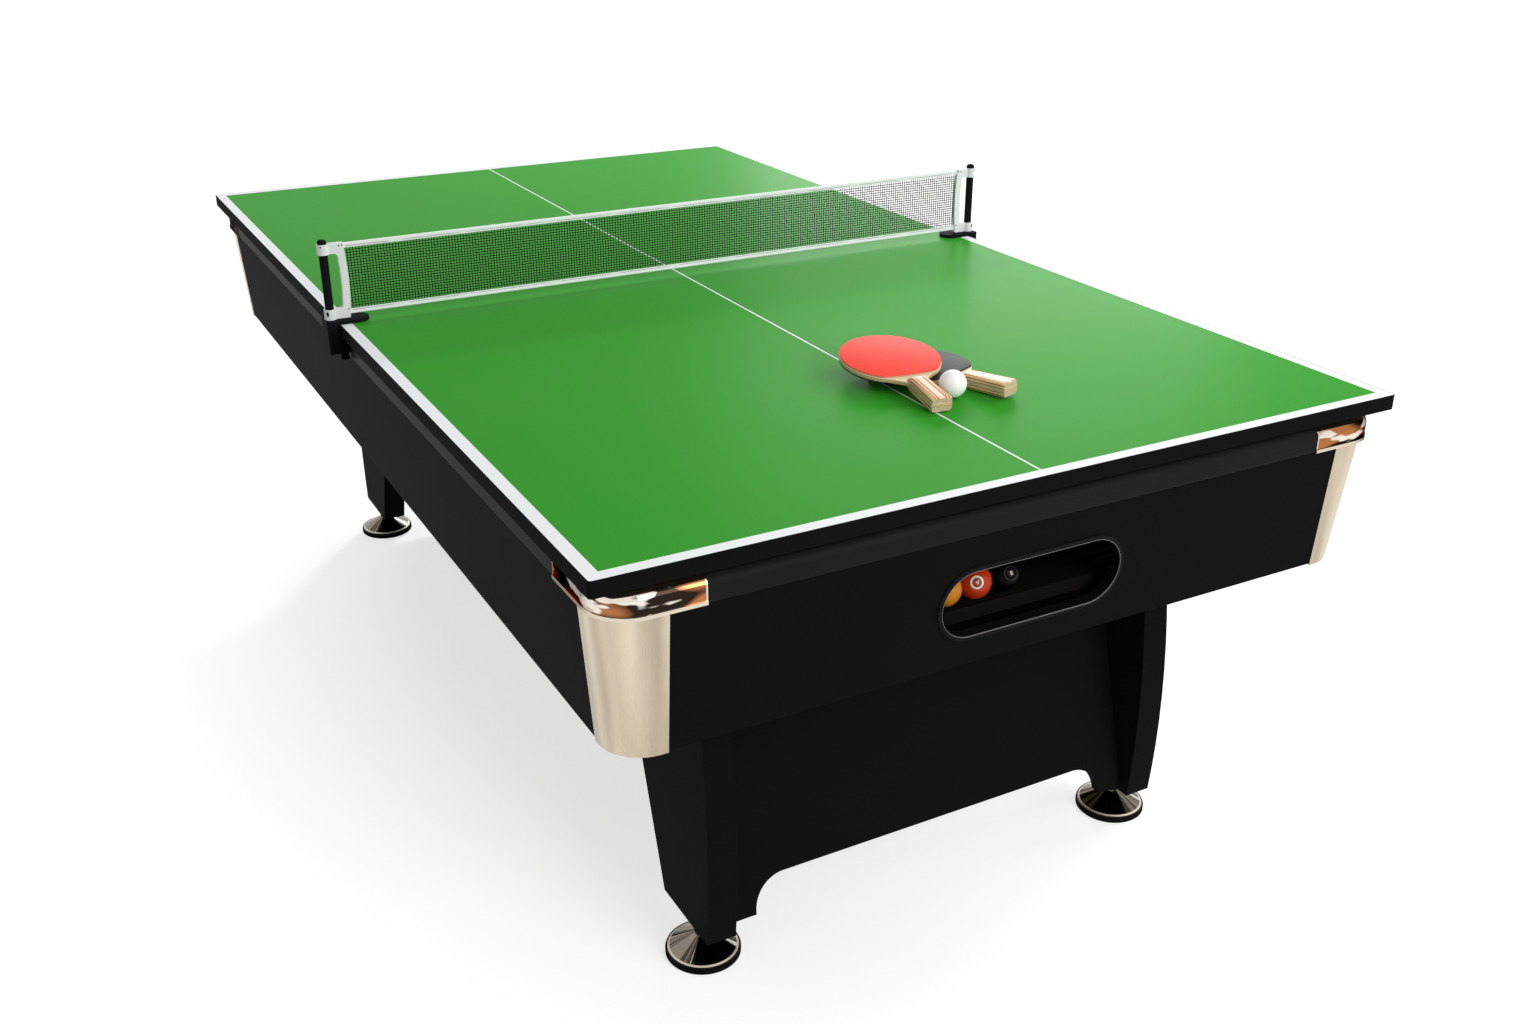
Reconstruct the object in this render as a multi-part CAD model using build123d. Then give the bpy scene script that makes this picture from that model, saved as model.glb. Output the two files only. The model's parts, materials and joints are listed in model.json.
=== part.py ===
from build123d import *
import math
import os

# A two-in-one game table: a seven foot pool table with a lift-off table
# tennis top, its clamped net, two bats and a ball.
# Millimetres. X runs across the table, Y along it with the ball return at
# the -Y end, Z up. The floor is Z = 0 and the origin lies under the middle.

# Playing bed, which the whole table is sized from
playing_length = 1914
playing_width = 957
bed_thickness = 18
cloth_thickness = 1.5

# Table tennis top
play_height = 770
top_end_overhang = 3
top_side_overhang = 14.5
board_thickness = 22
board_corner_radius = 5
edge_band_thickness = 1.2

# Pads that hold the tennis top clear of the pool rails
rest_pad_height = 8
rest_pad_diameter = 36
rest_pads_per_side = 4

# Pool rails and cushions
end_rail_width = 72
side_rail_width = 93
rail_height = 34
rail_corner_radius = 55
rail_top_round = 13
rail_bottom_round = 4
cushion_depth = 38
cushion_nose_height = 30
cushion_nose_thickness = 5
cushion_top_drop = 1.5
cushion_foot_share = 0.42

# Pockets
pocket_bore = 86
pocket_wall = 2.6
corner_pocket_outset = 22
side_pocket_outset = 27
corner_mouth = 87
side_mouth = 92
corner_jaw_degrees = 45
side_jaw_degrees = 22
pocket_rim_drop = 5
pocket_tail = 26
pocket_mouth_inset = 8
side_plate_width = 13
side_plate_thickness = 2.4

# Polished corner castings on the rails
cap_end_margin = 21
cap_side_margin = 58
corner_cap_proud = 0.8
cap_lip_height = 5
cap_lip_proud = 1.2

# Cabinet
rail_overhang = 5
apron_height = 193
apron_slant = 14
apron_thickness = 15
cover_reach = 84
cover_thickness = 1.6
cover_drop = 2
mount_board_thickness = 18
mount_board_margin = 15.5
beam_thickness = 18
beam_depth = 120
beam_end_inset = 167
beams = 4

# Ball return
slot_straight = 192
slot_outer_radius = 55
slot_cut_radius = 52
slot_inner_radius = 48.5
slot_drop = 101
bezel_flange = 2.6
bezel_bevel = 1.1
pool_ball_diameter = 48
ball_row_x = -52
ball_row_setback = 71
tray_width = 322
tray_depth = 98
tray_wall = 6
tray_height = 84
ledge_width = 150
ledge_thickness = 12
ledge_setback = 52
tray_lead_drop = 20
rod_diameter = 6
rod_spacing = 30
side_rod_fall = 18
front_rod_fall = 5
ball_way_width = 62
ball_way_height = 72

# Legs and their cross panels
foot_height = 62
leg_thickness = 46
leg_side_inset = 202.5
leg_end_inset = 195
leg_top_width = 269
leg_bottom_width = 143
leg_bow = 34
leg_splay = 27
leg_bow_height = 150
panel_thickness = 18
panel_lift = 9
panel_top_setback = 112
panel_bottom_setback = 17
arch_inset = 43
arch_rise = 51
bolt_diameter = 10
bolt_length = 60
bolt_head_width = 17
bolt_head_height = 6.4
bolt_inset = 55

# Levelling feet
foot_diameter = 112
foot_base_height = 9
foot_rim_height = 3
foot_rim_inset = 1.2
foot_cone_top = 37
foot_neck_diameter = 25
foot_shell = 2.2
stud_diameter = 10
stud_length = 58
foot_travel = 20

# Net set
net_height = 130
net_drop_gap = 11
net_end_inset = 26
net_thickness = 1.2
net_columns = 16
net_rows = 5
net_strand = 2.2
tape_height = 9
tape_thickness = 2.4
post_diameter = 14
post_height = 131
post_cap_diameter = 15
post_cap_height = 7
post_cap_round = 5
post_outset = 10
clamp_width = 40
clamp_plate = 6
clamp_inner_reach = 52
clamp_outer_reach = 21
clamp_jaw_depth = 26
clamp_jaw = 10
clamp_jaw_reach = 13
clamp_edge_round = 3
screw_inset = 6.5
screw_diameter = 6
screw_knob_diameter = 13
screw_knob_height = 16
screw_flutes = 6
flute_diameter = 2
screw_pad_diameter = 12
screw_pad_thickness = 3
bracket_tab_height = 17
bracket_wall = 2.5
bracket_arm = 12
bracket_bow = 4
bracket_arm_depth = 8
bracket_corner_round = 6

# Bats and ball
blade_length = 156
blade_width = 150
blade_thickness = 6
blade_shoulder = 44
rubber_thickness = 2.4
rubber_inset = 0.8
handle_length = 84
handle_width = 27
handle_flare = 34
handle_thickness = 22
handle_round = 4
handle_neck = 16
bat_rest_share = 1.08
tennis_ball_diameter = 40
red_bat_x = 24
red_bat_from_end = 411
red_bat_turn = -6
black_bat_x = 74
black_bat_from_end = 404
black_bat_turn = 19
tennis_ball_x = 56
tennis_ball_from_end = 294

# Fits and cutting aids
clearance = 0.3
seat_gap = 0.2
overrun = 40

# Overall sizes that follow from the bed
frame_length = playing_length + 2 * (cushion_depth + end_rail_width)
frame_width = playing_width + 2 * (cushion_depth + side_rail_width)
top_length = frame_length + 2 * top_end_overhang
top_width = frame_width + 2 * top_side_overhang
net_length = top_width - 2 * net_end_inset

# Levels and lines worked out from the sizes above
board_bottom = play_height - board_thickness
rail_top = board_bottom - rest_pad_height
rail_bottom = rail_top - rail_height
apron_bottom = rail_bottom - apron_height
bed_bottom = rail_bottom - cloth_thickness - bed_thickness
half_frame_x = frame_width / 2
half_frame_y = frame_length / 2
half_apron_x = half_frame_x - rail_overhang
half_apron_y = half_frame_y - rail_overhang
nose_x = playing_width / 2
nose_y = playing_length / 2
rail_inner_x = nose_x + cushion_depth
rail_inner_y = nose_y + cushion_depth
pocket_outer_radius = pocket_bore / 2 + pocket_wall
corner_pocket_x = nose_x + corner_pocket_outset
corner_pocket_y = nose_y + corner_pocket_outset
side_pocket_x = nose_x + side_pocket_outset
apron_end_x = half_apron_x - apron_slant - rail_corner_radius
apron_end_y = half_apron_y - apron_slant - rail_corner_radius
slot_z = rail_bottom - slot_drop
ball_radius = pool_ball_diameter / 2
ball_row_y = -half_frame_y + ball_row_setback
ledge_top = slot_z - slot_inner_radius + tray_lead_drop - clearance
corner_cap_end_reach = half_frame_x - corner_pocket_x + cap_end_margin
corner_cap_side_reach = half_frame_y - corner_pocket_y + cap_side_margin
half_top_x = top_width / 2
half_top_y = top_length / 2
leg_outer_x = half_frame_x - leg_side_inset
leg_inner_x = leg_outer_x - leg_thickness
leg_top_outer = half_frame_y - leg_end_inset
leg_top_inner = leg_top_outer - leg_top_width
leg_mid_outer = leg_top_outer + leg_bow
leg_bottom_outer = leg_top_outer + leg_splay
leg_bottom_inner = leg_bottom_outer - leg_bottom_width
foot_x = leg_outer_x - leg_thickness / 2
foot_y = (leg_bottom_outer + leg_bottom_inner) / 2 + bolt_diameter
post_x = half_top_x + post_outset
screw_x = half_top_x - screw_inset

corners = [(side, end) for side in (-1, 1) for end in (-1, 1)]


def block(low_x, high_x, low_y, high_y, low_z, high_z):
    """A box between two corners."""
    middle = Pos((low_x + high_x) / 2, (low_y + high_y) / 2, (low_z + high_z) / 2)
    return middle * Box(high_x - low_x, high_y - low_y, high_z - low_z)


def disc(radius, x, y, low_z, high_z):
    """An upright cylinder between two levels."""
    return Pos(x, y, (low_z + high_z) / 2) * Cylinder(radius, high_z - low_z)


def across(shape):
    """The same shape on the other side, X turned over."""
    return mirror(shape, about=Plane.YZ)


def along(shape):
    """The same shape at the other end, Y turned over."""
    return mirror(shape, about=Plane.XZ)


def mirrored_sides(shape):
    """The shape and its twin across the table."""
    return [shape, across(shape)]


def mirrored_ends(shapes):
    """Every shape and its twin at the other end."""
    return list(shapes) + [along(shape) for shape in shapes]


def save(name, *shapes):
    """Write one node from its separate solids."""
    solids = [solid for shape in shapes for solid in shape.solids()]
    whole = solids[0] if len(solids) == 1 else Compound(children=solids)
    whole.label = name
    export_step(whole, f"parts/{name}.step")


def slant_at(level):
    """How far the cabinet's face has moved in at a level."""
    return apron_slant * (rail_bottom - level) / apron_height


def cabinet_section(inset, level, radius):
    """The cabinet's outline at a level, drawn in by an inset."""
    half_x = half_apron_x - inset - slant_at(level)
    half_y = half_apron_y - inset - slant_at(level)
    outline = RectangleRounded(2 * half_x, 2 * half_y, radius) if radius > 0 else Rectangle(2 * half_x, 2 * half_y)
    return Pos(0, 0, level) * outline


def cabinet_block(inset, low_z, high_z, radius=0):
    """The tapered space inside the cabinet's faces between two levels."""
    low = cabinet_section(inset, low_z, radius)
    high = cabinet_section(inset, high_z, radius)
    return loft([low, high], ruled=True)


def pocket_centres():
    """Middle of each of the six pockets: x, y and the way to the table's middle."""
    places = [(side * corner_pocket_x, end * corner_pocket_y, side, end) for side, end in corners]
    return places + [(side * side_pocket_x, 0, side, 0) for side in (-1, 1)]


def pocket_drills(low_z, high_z):
    """The round holes that all pockets need through a layer."""
    radius = pocket_outer_radius + clearance
    return [disc(radius, x, y, low_z, high_z) for x, y, _, _ in pocket_centres()]


def tennis_boards():
    """Two half boards with a plastic band round their outer edges."""
    low, high = board_bottom, play_height
    outline = Pos(0, 0, low) * RectangleRounded(top_width, top_length, board_corner_radius)
    whole = extrude(outline, board_thickness)
    core_width = top_width - 2 * edge_band_thickness
    core_length = top_length - 2 * edge_band_thickness
    core_radius = board_corner_radius - edge_band_thickness
    core = extrude(Pos(0, 0, low) * RectangleRounded(core_width, core_length, core_radius), board_thickness)
    band = whole - core
    left_half = block(-top_width, 0, -top_length, top_length, low - overrun, high + overrun)
    board = core & left_half
    half_band = band & left_half
    return board, across(board), half_band, across(half_band)


def rest_pads():
    """Round pads under the tennis top that stand on the pool rails."""
    line_x = half_frame_x - rail_top_round - rest_pad_diameter / 2 - clearance
    reach_y = half_frame_y - corner_cap_side_reach - rest_pad_diameter
    step = 2 * reach_y / (rest_pads_per_side - 1)
    radius = rest_pad_diameter / 2
    pads = []
    for index in range(rest_pads_per_side):
        pad = disc(radius, line_x, -reach_y + index * step, rail_top, board_bottom)
        pads += mirrored_sides(pad)
    return pads


def rail_ring(grown):
    """The rails as one frame, with the rounded outer profile."""
    width = frame_width + 2 * grown
    length = frame_length + 2 * grown
    outline = Pos(0, 0, rail_bottom) * RectangleRounded(width, length, rail_corner_radius + grown)
    frame = extrude(outline, rail_height + grown)
    levels = frame.faces().sort_by(Axis.Z)
    frame = fillet(levels[-1].edges(), rail_top_round)
    frame = fillet(frame.faces().sort_by(Axis.Z)[0].edges(), rail_bottom_round)
    hole = block(-rail_inner_x, rail_inner_x, -rail_inner_y, rail_inner_y,
                 rail_bottom - overrun, rail_top + overrun)
    return frame - hole


def cap_lip():
    """The plain band that stands out along the foot of the castings."""
    grown = corner_cap_proud + cap_lip_proud
    outline = RectangleRounded(frame_width + 2 * grown, frame_length + 2 * grown, rail_corner_radius + grown)
    band = extrude(Pos(0, 0, rail_bottom) * outline, cap_lip_height)
    return band - block(-rail_inner_x, rail_inner_x, -rail_inner_y, rail_inner_y,
                        rail_bottom - overrun, rail_top + overrun)


def rails_and_caps():
    """Four wooden rails and the four castings between them."""
    split_x = half_frame_x - corner_cap_end_reach
    split_y = half_frame_y - corner_cap_side_reach
    low, high = rail_bottom - overrun, rail_top + overrun
    drills = pocket_drills(low, high)
    wood = rail_ring(0) - drills
    front = wood & block(-split_x, split_x, -frame_length, 0, low, high)
    right = wood & block(0, frame_width, -split_y, split_y, low, high)
    casting = rail_ring(corner_cap_proud) + cap_lip() - drills
    corner = casting & block(split_x, frame_width, -frame_length, -split_y, low, high)
    caps = mirrored_ends(mirrored_sides(corner))
    return front, along(front), across(right), right, caps


def cushion_profile():
    """Points of a cushion's section: distance from the rail, and level."""
    nose = rail_bottom + cushion_nose_height
    half_nose = cushion_nose_thickness / 2
    return [
        (0, rail_bottom),
        (0, rail_top - cushion_top_drop),
        (cushion_depth - half_nose, nose + half_nose),
        (cushion_depth, nose),
        (cushion_depth - half_nose, nose - half_nose),
        (cushion_depth * cushion_foot_share, rail_bottom),
    ]


def end_cushion():
    """The cushion on the front rail, its ends cut back towards the pockets."""
    back_y = -rail_inner_y
    points = [(back_y + reach, level) for reach, level in cushion_profile()]
    face = make_face(Plane.YZ * Polyline(*points, close=True))
    bar = extrude(face, nose_x, both=True)
    tip_x = nose_x - corner_mouth / math.sqrt(2)
    jaw = cushion_depth * math.tan(math.radians(corner_jaw_degrees))
    plan = [(-tip_x - jaw, back_y), (tip_x + jaw, back_y), (tip_x, -nose_y), (-tip_x, -nose_y)]
    trim = extrude(Pos(0, 0, rail_bottom) * make_face(Polyline(*plan, close=True)), rail_height)
    return bar & trim


def side_cushion():
    """The cushion between a front corner pocket and a side pocket."""
    back_x = rail_inner_x
    points = [(back_x - reach, level) for reach, level in cushion_profile()]
    face = make_face(Plane.XZ * Polyline(*points, close=True))
    bar = extrude(face, nose_y)
    corner_tip = nose_y - corner_mouth / math.sqrt(2)
    side_tip = side_mouth / 2
    corner_jaw = cushion_depth * math.tan(math.radians(corner_jaw_degrees))
    side_jaw = cushion_depth * math.tan(math.radians(side_jaw_degrees))
    plan = [(nose_x, -corner_tip), (nose_x, -side_tip),
            (back_x, -side_tip + side_jaw), (back_x, -corner_tip - corner_jaw)]
    trim = extrude(Pos(0, 0, rail_bottom) * make_face(Polyline(*plan, close=True)), rail_height)
    for drill in pocket_drills(rail_bottom, rail_top):
        trim = trim - drill
    return bar & trim


def side_pocket_plate():
    """The bright plate that rims a side pocket on top of its rail."""
    radius = pocket_outer_radius + side_plate_width
    high = rail_top + side_plate_thickness
    plate = disc(radius, side_pocket_x, 0, rail_top, high)
    plate = plate - disc(pocket_bore / 2, side_pocket_x, 0, rail_top, high)
    return plate & block(rail_inner_x, half_frame_x, -radius, radius, rail_top, high)


def pocket_cup(x, y, side, end):
    """A drop tube: a full ring under the bed, and a half ring above it."""
    top = rail_top - pocket_rim_drop
    bottom = bed_bottom - pocket_tail
    tube = disc(pocket_outer_radius, x, y, bottom, top) - disc(pocket_bore / 2, x, y, bottom, top)
    reach = 2 * pocket_outer_radius
    mouth = block(-reach, -pocket_mouth_inset, -reach, reach, rail_bottom, top + overrun)
    turn = math.degrees(math.atan2(end, side))
    return tube - Pos(x, y, 0) * Rot(0, 0, turn) * mouth


def bed_layers():
    """The playing board and the cloth that lies on it."""
    low, high = bed_bottom, rail_bottom - cloth_thickness
    radius = rail_corner_radius - apron_thickness
    board = cabinet_block(apron_thickness, low, high, radius)
    cloth = cabinet_block(apron_thickness, high, rail_bottom, radius)
    for drill in pocket_drills(low - overrun, rail_bottom + overrun):
        board = board - drill
        cloth = cloth - drill
    return board, cloth


def leaning_board(half_run, face_top):
    """A straight cabinet side as points: outer and inner line, top to bottom."""
    low, high = apron_bottom, rail_bottom
    return [
        (face_top, high),
        (face_top - apron_slant, low),
        (face_top - apron_slant - apron_thickness, low),
        (face_top - apron_thickness, high),
    ]


def front_apron():
    """The end apron, without its slot."""
    points = [(-distance, level) for distance, level in leaning_board(apron_end_x, half_apron_y)]
    return extrude(make_face(Plane.YZ * Polyline(*points, close=True)), apron_end_x, both=True)


def right_apron():
    """A long side apron."""
    points = leaning_board(apron_end_y, half_apron_x)
    return extrude(make_face(Plane.XZ * Polyline(*points, close=True)), apron_end_y, both=True)


def slot_plane():
    """The slanted face of the front apron at the middle of its slot."""
    face_y = -half_apron_y + slant_at(slot_z)
    return Plane(origin=(0, face_y, slot_z), x_dir=(1, 0, 0), z_dir=(0, -apron_height, -apron_slant))


def slot_bar(radius, outward, inward):
    """A bar of the slot's outline through the apron."""
    outline = slot_plane() * SlotCenterToCenter(slot_straight, 2 * radius)
    return extrude(outline, outward) + extrude(outline, -inward)


def ball_return_bezel():
    """A moulded frame: a flange on the apron and a sleeve through it."""
    flange = extrude(slot_plane() * SlotCenterToCenter(slot_straight, 2 * slot_outer_radius), bezel_flange)
    outer_face = flange.faces().sort_by(Axis.Y)[0]
    flange = chamfer(outer_face.edges(), bezel_bevel)
    depth = apron_thickness * math.cos(math.atan2(apron_slant, apron_height))
    sleeve = extrude(slot_plane() * SlotCenterToCenter(slot_straight, 2 * slot_cut_radius), -depth)
    return flange + sleeve - slot_bar(slot_inner_radius, overrun, overrun)


def ball_tray():
    """The open-fronted box that gathers the balls behind the slot."""
    floor = ledge_top - tray_lead_drop
    inner_front = -half_apron_y + apron_thickness
    back = inner_front + tray_depth
    half = tray_width / 2
    low, high = floor - tray_wall, floor + tray_height
    front = inner_front - overrun
    shell = block(-half, half, front, back, low, high)
    shell = shell - block(-half + tray_wall, half - tray_wall, front, back - tray_wall, floor, high)
    way = ball_way_width / 2
    side_way = block(-half, half, ball_row_y - way, ball_row_y + way, ledge_top, high)
    shell = shell - side_way
    return shell & cabinet_block(apron_thickness, low, high)


def ball_ledge():
    """The pale shelf under the row of balls."""
    floor = ledge_top - tray_lead_drop
    half = tray_width / 2 - tray_wall
    inner_front = -half_apron_y + apron_thickness
    front = -half_frame_y + ledge_setback
    back = inner_front + tray_depth - tray_wall
    return block(-half, half, front, back, floor, ledge_top)


def pool_ball(place):
    """One ball of the row, counted from the middle one."""
    x = ball_row_x + place * (pool_ball_diameter + clearance)
    return Pos(x, ball_row_y, ledge_top + ball_radius + clearance) * Sphere(ball_radius)


def rod(start, finish):
    """A straight round rod between two points."""
    line = Vector(*finish) - Vector(*start)
    plane = Plane(origin=start, z_dir=line)
    return extrude(plane * Circle(rod_diameter / 2), line.length)


def beam_lines():
    """Where the beams under the bed stand along the table."""
    first = -half_frame_y + beam_end_inset
    spacing = -2 * first / (beams - 1)
    return [first + index * spacing for index in range(beams)]


def side_rod_level(y):
    """Height of the side rods, falling towards the front."""
    share = (y + half_apron_y) / (2 * half_apron_y)
    crossing = ledge_top + front_rod_fall + rod_diameter + seat_gap
    return crossing + rod_diameter / 2 + clearance + side_rod_fall * share


def runner_rods():
    """Pairs of rods that carry the balls from the pockets to the tray."""
    half = rod_spacing / 2
    rods = []
    low_y = ball_row_y + half
    high_y = half_apron_y
    for offset in (-half, half):
        x = side_pocket_x + offset
        start = (x, low_y, side_rod_level(low_y))
        finish = (x, high_y, side_rod_level(high_y))
        rods += mirrored_sides(rod(start, finish))
        line_y = ball_row_y + offset
        rest = ledge_top + rod_diameter / 2 + seat_gap
        near = (tray_width / 2 - tray_wall + clearance, line_y, rest)
        far = (apron_end_x + rod_diameter, line_y, rest + front_rod_fall)
        rods += mirrored_sides(rod(near, far))
    inner = cabinet_block(apron_thickness, apron_bottom, rail_bottom)
    return [single & inner for single in rods]


def cross_beams():
    """Beams under the bed with a window at each side for the balls."""
    low, high = bed_bottom - beam_depth, bed_bottom
    result = []
    for line in beam_lines():
        near, far = line - beam_thickness / 2, line + beam_thickness / 2
        beam = block(-half_frame_x, half_frame_x, near, far, low, high)
        floor = side_rod_level(near) - rod_diameter / 2
        half_way = ball_way_width / 2
        window = block(side_pocket_x - half_way, side_pocket_x + half_way, near, far,
                       floor, floor + ball_way_height)
        beam = beam - window - across(window)
        result.append(beam & cabinet_block(apron_thickness, low, high))
    return result


def mount_board():
    """The board across the front that takes the front pair of legs."""
    high = apron_bottom + mount_board_thickness
    board = block(-half_frame_x, half_frame_x, -leg_top_outer - mount_board_margin,
                  -leg_top_inner + mount_board_margin, apron_bottom, high)
    board = board & cabinet_block(apron_thickness, apron_bottom, high)
    for x, y in bolt_places():
        board = board - disc(bolt_diameter / 2 + clearance, x, y, apron_bottom, high)
    return board


def bolt_places():
    """Two bolts over each front leg."""
    lines = (-leg_top_outer + bolt_inset, -leg_top_inner - bolt_inset)
    return [(side * foot_x, y) for side in (-1, 1) for y in lines]


def leg_bolt(x, y):
    """A hexagon bolt down through the mount board into a leg."""
    seat = apron_bottom + mount_board_thickness
    shank = disc(bolt_diameter / 2, x, y, seat - bolt_length, seat)
    head = extrude(Pos(x, y, seat) * RegularPolygon(bolt_head_width / 2, 6, major_radius=False), bolt_head_height)
    return shank + head


def corner_block():
    """The block low in a corner that ties two aprons together."""
    high = ledge_top + front_rod_fall
    solid = cabinet_block(0, apron_bottom, high, rail_corner_radius)
    return solid & block(apron_end_x, frame_width, -frame_length, -apron_end_y, apron_bottom, high)


def corner_cover():
    """The bent satin metal sheet round a corner of the cabinet."""
    low, high = apron_bottom - cover_drop, rail_bottom
    outer = cabinet_block(-cover_thickness, low, high, rail_corner_radius + cover_thickness)
    inner = cabinet_block(0, low, high, rail_corner_radius)
    near_x = half_frame_x - cover_reach
    near_y = half_frame_y - cover_reach
    return (outer - inner) & block(near_x, frame_width, -frame_length, -near_y, low, high)


def leg():
    """The front right leg: a board with a bowed outer and a straight inner edge."""
    low, high = foot_height, apron_bottom
    outer_top = (-leg_top_outer, high)
    outer_middle = (-leg_mid_outer, low + leg_bow_height)
    outer_bottom = (-leg_bottom_outer, low)
    bow = ThreePointArc(outer_top, outer_middle, outer_bottom)
    rest = Polyline(outer_bottom, (-leg_bottom_inner, low), (-leg_top_inner, high), outer_top)
    face = make_face(Plane.YZ * (bow + rest))
    board = extrude(Pos(leg_inner_x, 0, 0) * face, leg_thickness)
    stud_bore = disc(stud_diameter / 2 + clearance, foot_x, -foot_y, low, low + stud_length + clearance)
    board = board - stud_bore
    for x, y in bolt_places():
        if x > 0:
            depth = bolt_length - mount_board_thickness + clearance
            board = board - disc(bolt_diameter / 2 + clearance, x, y, high - depth, high)
    return board


def cross_panel():
    """The leaning panel between the front legs, arched at its foot."""
    low, high = foot_height + panel_lift, apron_bottom
    top_y = -leg_top_outer + panel_top_setback
    bottom_y = -leg_bottom_outer + panel_bottom_setback
    lean = math.atan2(top_y - bottom_y, high - low)
    depth = panel_thickness / math.cos(lean)
    side = [(bottom_y, low), (top_y, high), (top_y + depth, high), (bottom_y + depth, low)]
    slab = extrude(make_face(Plane.YZ * Polyline(*side, close=True)), leg_inner_x, both=True)
    half_arch = leg_inner_x - arch_inset
    arch = Pos(0, 0, low) * Rot(90, 0, 0) * Rectangle(2 * half_arch, 2 * arch_rise)
    arch = extrude(arch, frame_length / 2, both=True)
    upper = arch.edges().filter_by(Axis.Y).group_by(Axis.Z)[-1]
    arch = fillet(upper, arch_rise - clearance)
    return slab - arch


def foot_base():
    """The black disc that stands on the floor, with the hub up to the leg."""
    neck = foot_neck_diameter / 2 - foot_shell
    disc_part = disc(foot_diameter / 2, 0, 0, 0, foot_base_height)
    disc_part = chamfer(disc_part.faces().sort_by(Axis.Z)[0].edges(), foot_shell)
    hub = disc(neck, 0, 0, foot_base_height, foot_height)
    bore = disc(stud_diameter / 2, 0, 0, foot_cone_top, foot_height)
    return disc_part + hub - bore


def foot_cover():
    """The polished spun cover over the base."""
    rim = foot_diameter / 2 - foot_rim_inset
    neck = foot_neck_diameter / 2
    low = foot_base_height
    shoulder = low + foot_rim_height
    bore = neck - foot_shell
    points = [(rim - foot_shell, low), (rim, low), (rim, shoulder), (rim - foot_shell, shoulder),
              (neck, foot_cone_top - foot_shell), (neck, foot_cone_top), (bore, foot_cone_top),
              (bore, foot_cone_top - 2 * foot_shell), (rim - 2 * foot_shell, low)]
    return revolve(make_face(Plane.XZ * Polyline(*points, close=True)), Axis.Z)


def foot_stud():
    """The threaded stud from the hub up into the leg."""
    return disc(stud_diameter / 2, 0, 0, foot_cone_top, foot_height + stud_length)


def net_face():
    """The net as one holed face, its cells a coarse stand-in for the mesh."""
    low = play_height + net_drop_gap + tape_height
    high = play_height + net_height - tape_height
    pitch_x = net_length / net_columns
    pitch_z = (high - low) / net_rows
    standing = Rot(90, 0, 0)
    back = net_thickness / 2
    edge = Pos(0, back, (low + high) / 2) * standing * Rectangle(net_length, high - low).wire()
    cell = standing * Rectangle(pitch_x - net_strand, pitch_z - net_strand).wire()
    cells = []
    for column in range(net_columns):
        for row in range(net_rows):
            x = (column + 0.5) * pitch_x - net_length / 2
            z = low + (row + 0.5) * pitch_z
            cells.append(Pos(x, back, z) * cell)
    return extrude(Face(edge, cells), net_thickness)


def net_tape(low):
    """A woven tape along the net, cut to meet the arm of each bracket."""
    half = net_length / 2 + bracket_bow
    tape = block(-half, half, -tape_thickness / 2, tape_thickness / 2, low, low + tape_height)
    for bracket in mirrored_sides(net_bracket()):
        tape = tape - bracket
    return tape


def net_clamp():
    """The right C clamp: plate on the board, back outside it and jaw below."""
    half = clamp_width / 2
    edge = half_top_x + clearance
    outer = half_top_x + clamp_outer_reach
    top = play_height + clamp_plate
    jaw_top = board_bottom - clamp_jaw_depth + clamp_jaw
    low = jaw_top - clamp_jaw
    plate = block(half_top_x - clamp_inner_reach, outer, -half, half, play_height, top)
    inner_end = plate.edges().filter_by(Axis.Z).group_by(Axis.X)[0]
    plate = fillet(inner_end, half - clearance)
    back = block(edge, outer, -half, half, low, top)
    jaw = block(half_top_x - clamp_jaw_reach, outer, -half, half, low, jaw_top)
    body = plate + back + jaw
    outer_edges = body.edges().filter_by(Axis.Z).group_by(Axis.X)[-1]
    body = fillet(outer_edges, clamp_edge_round)
    return body - disc(screw_diameter / 2 + clearance, screw_x, 0, low, jaw_top)


def clamp_screw():
    """The right clamp's screw with its fluted knob below the jaw."""
    jaw_top = board_bottom - clamp_jaw_depth + clamp_jaw
    low = jaw_top - clamp_jaw - clearance
    head_top = board_bottom - screw_pad_thickness
    shank = disc(screw_diameter / 2, screw_x, 0, low, head_top)
    knob = disc(screw_knob_diameter / 2, screw_x, 0, low - screw_knob_height, low)
    for index in range(screw_flutes):
        turn = math.radians(360 * index / screw_flutes)
        x = screw_x + screw_knob_diameter / 2 * math.cos(turn)
        y = screw_knob_diameter / 2 * math.sin(turn)
        knob = knob - disc(flute_diameter / 2, x, y, low - screw_knob_height, low)
    return shank + knob


def clamp_pad():
    """The round pad on the screw's end that presses under the board."""
    return disc(screw_pad_diameter / 2, screw_x, 0, board_bottom - screw_pad_thickness, board_bottom)


def net_post():
    """The right post with its cap."""
    low = play_height + clamp_plate
    cap_low = play_height + post_height
    post = disc(post_diameter / 2, post_x, 0, low, cap_low)
    cap = disc(post_cap_diameter / 2, post_x, 0, cap_low, cap_low + post_cap_height)
    cap = fillet(cap.faces().sort_by(Axis.Z)[-1].edges(), post_cap_round)
    return post, cap


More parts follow.
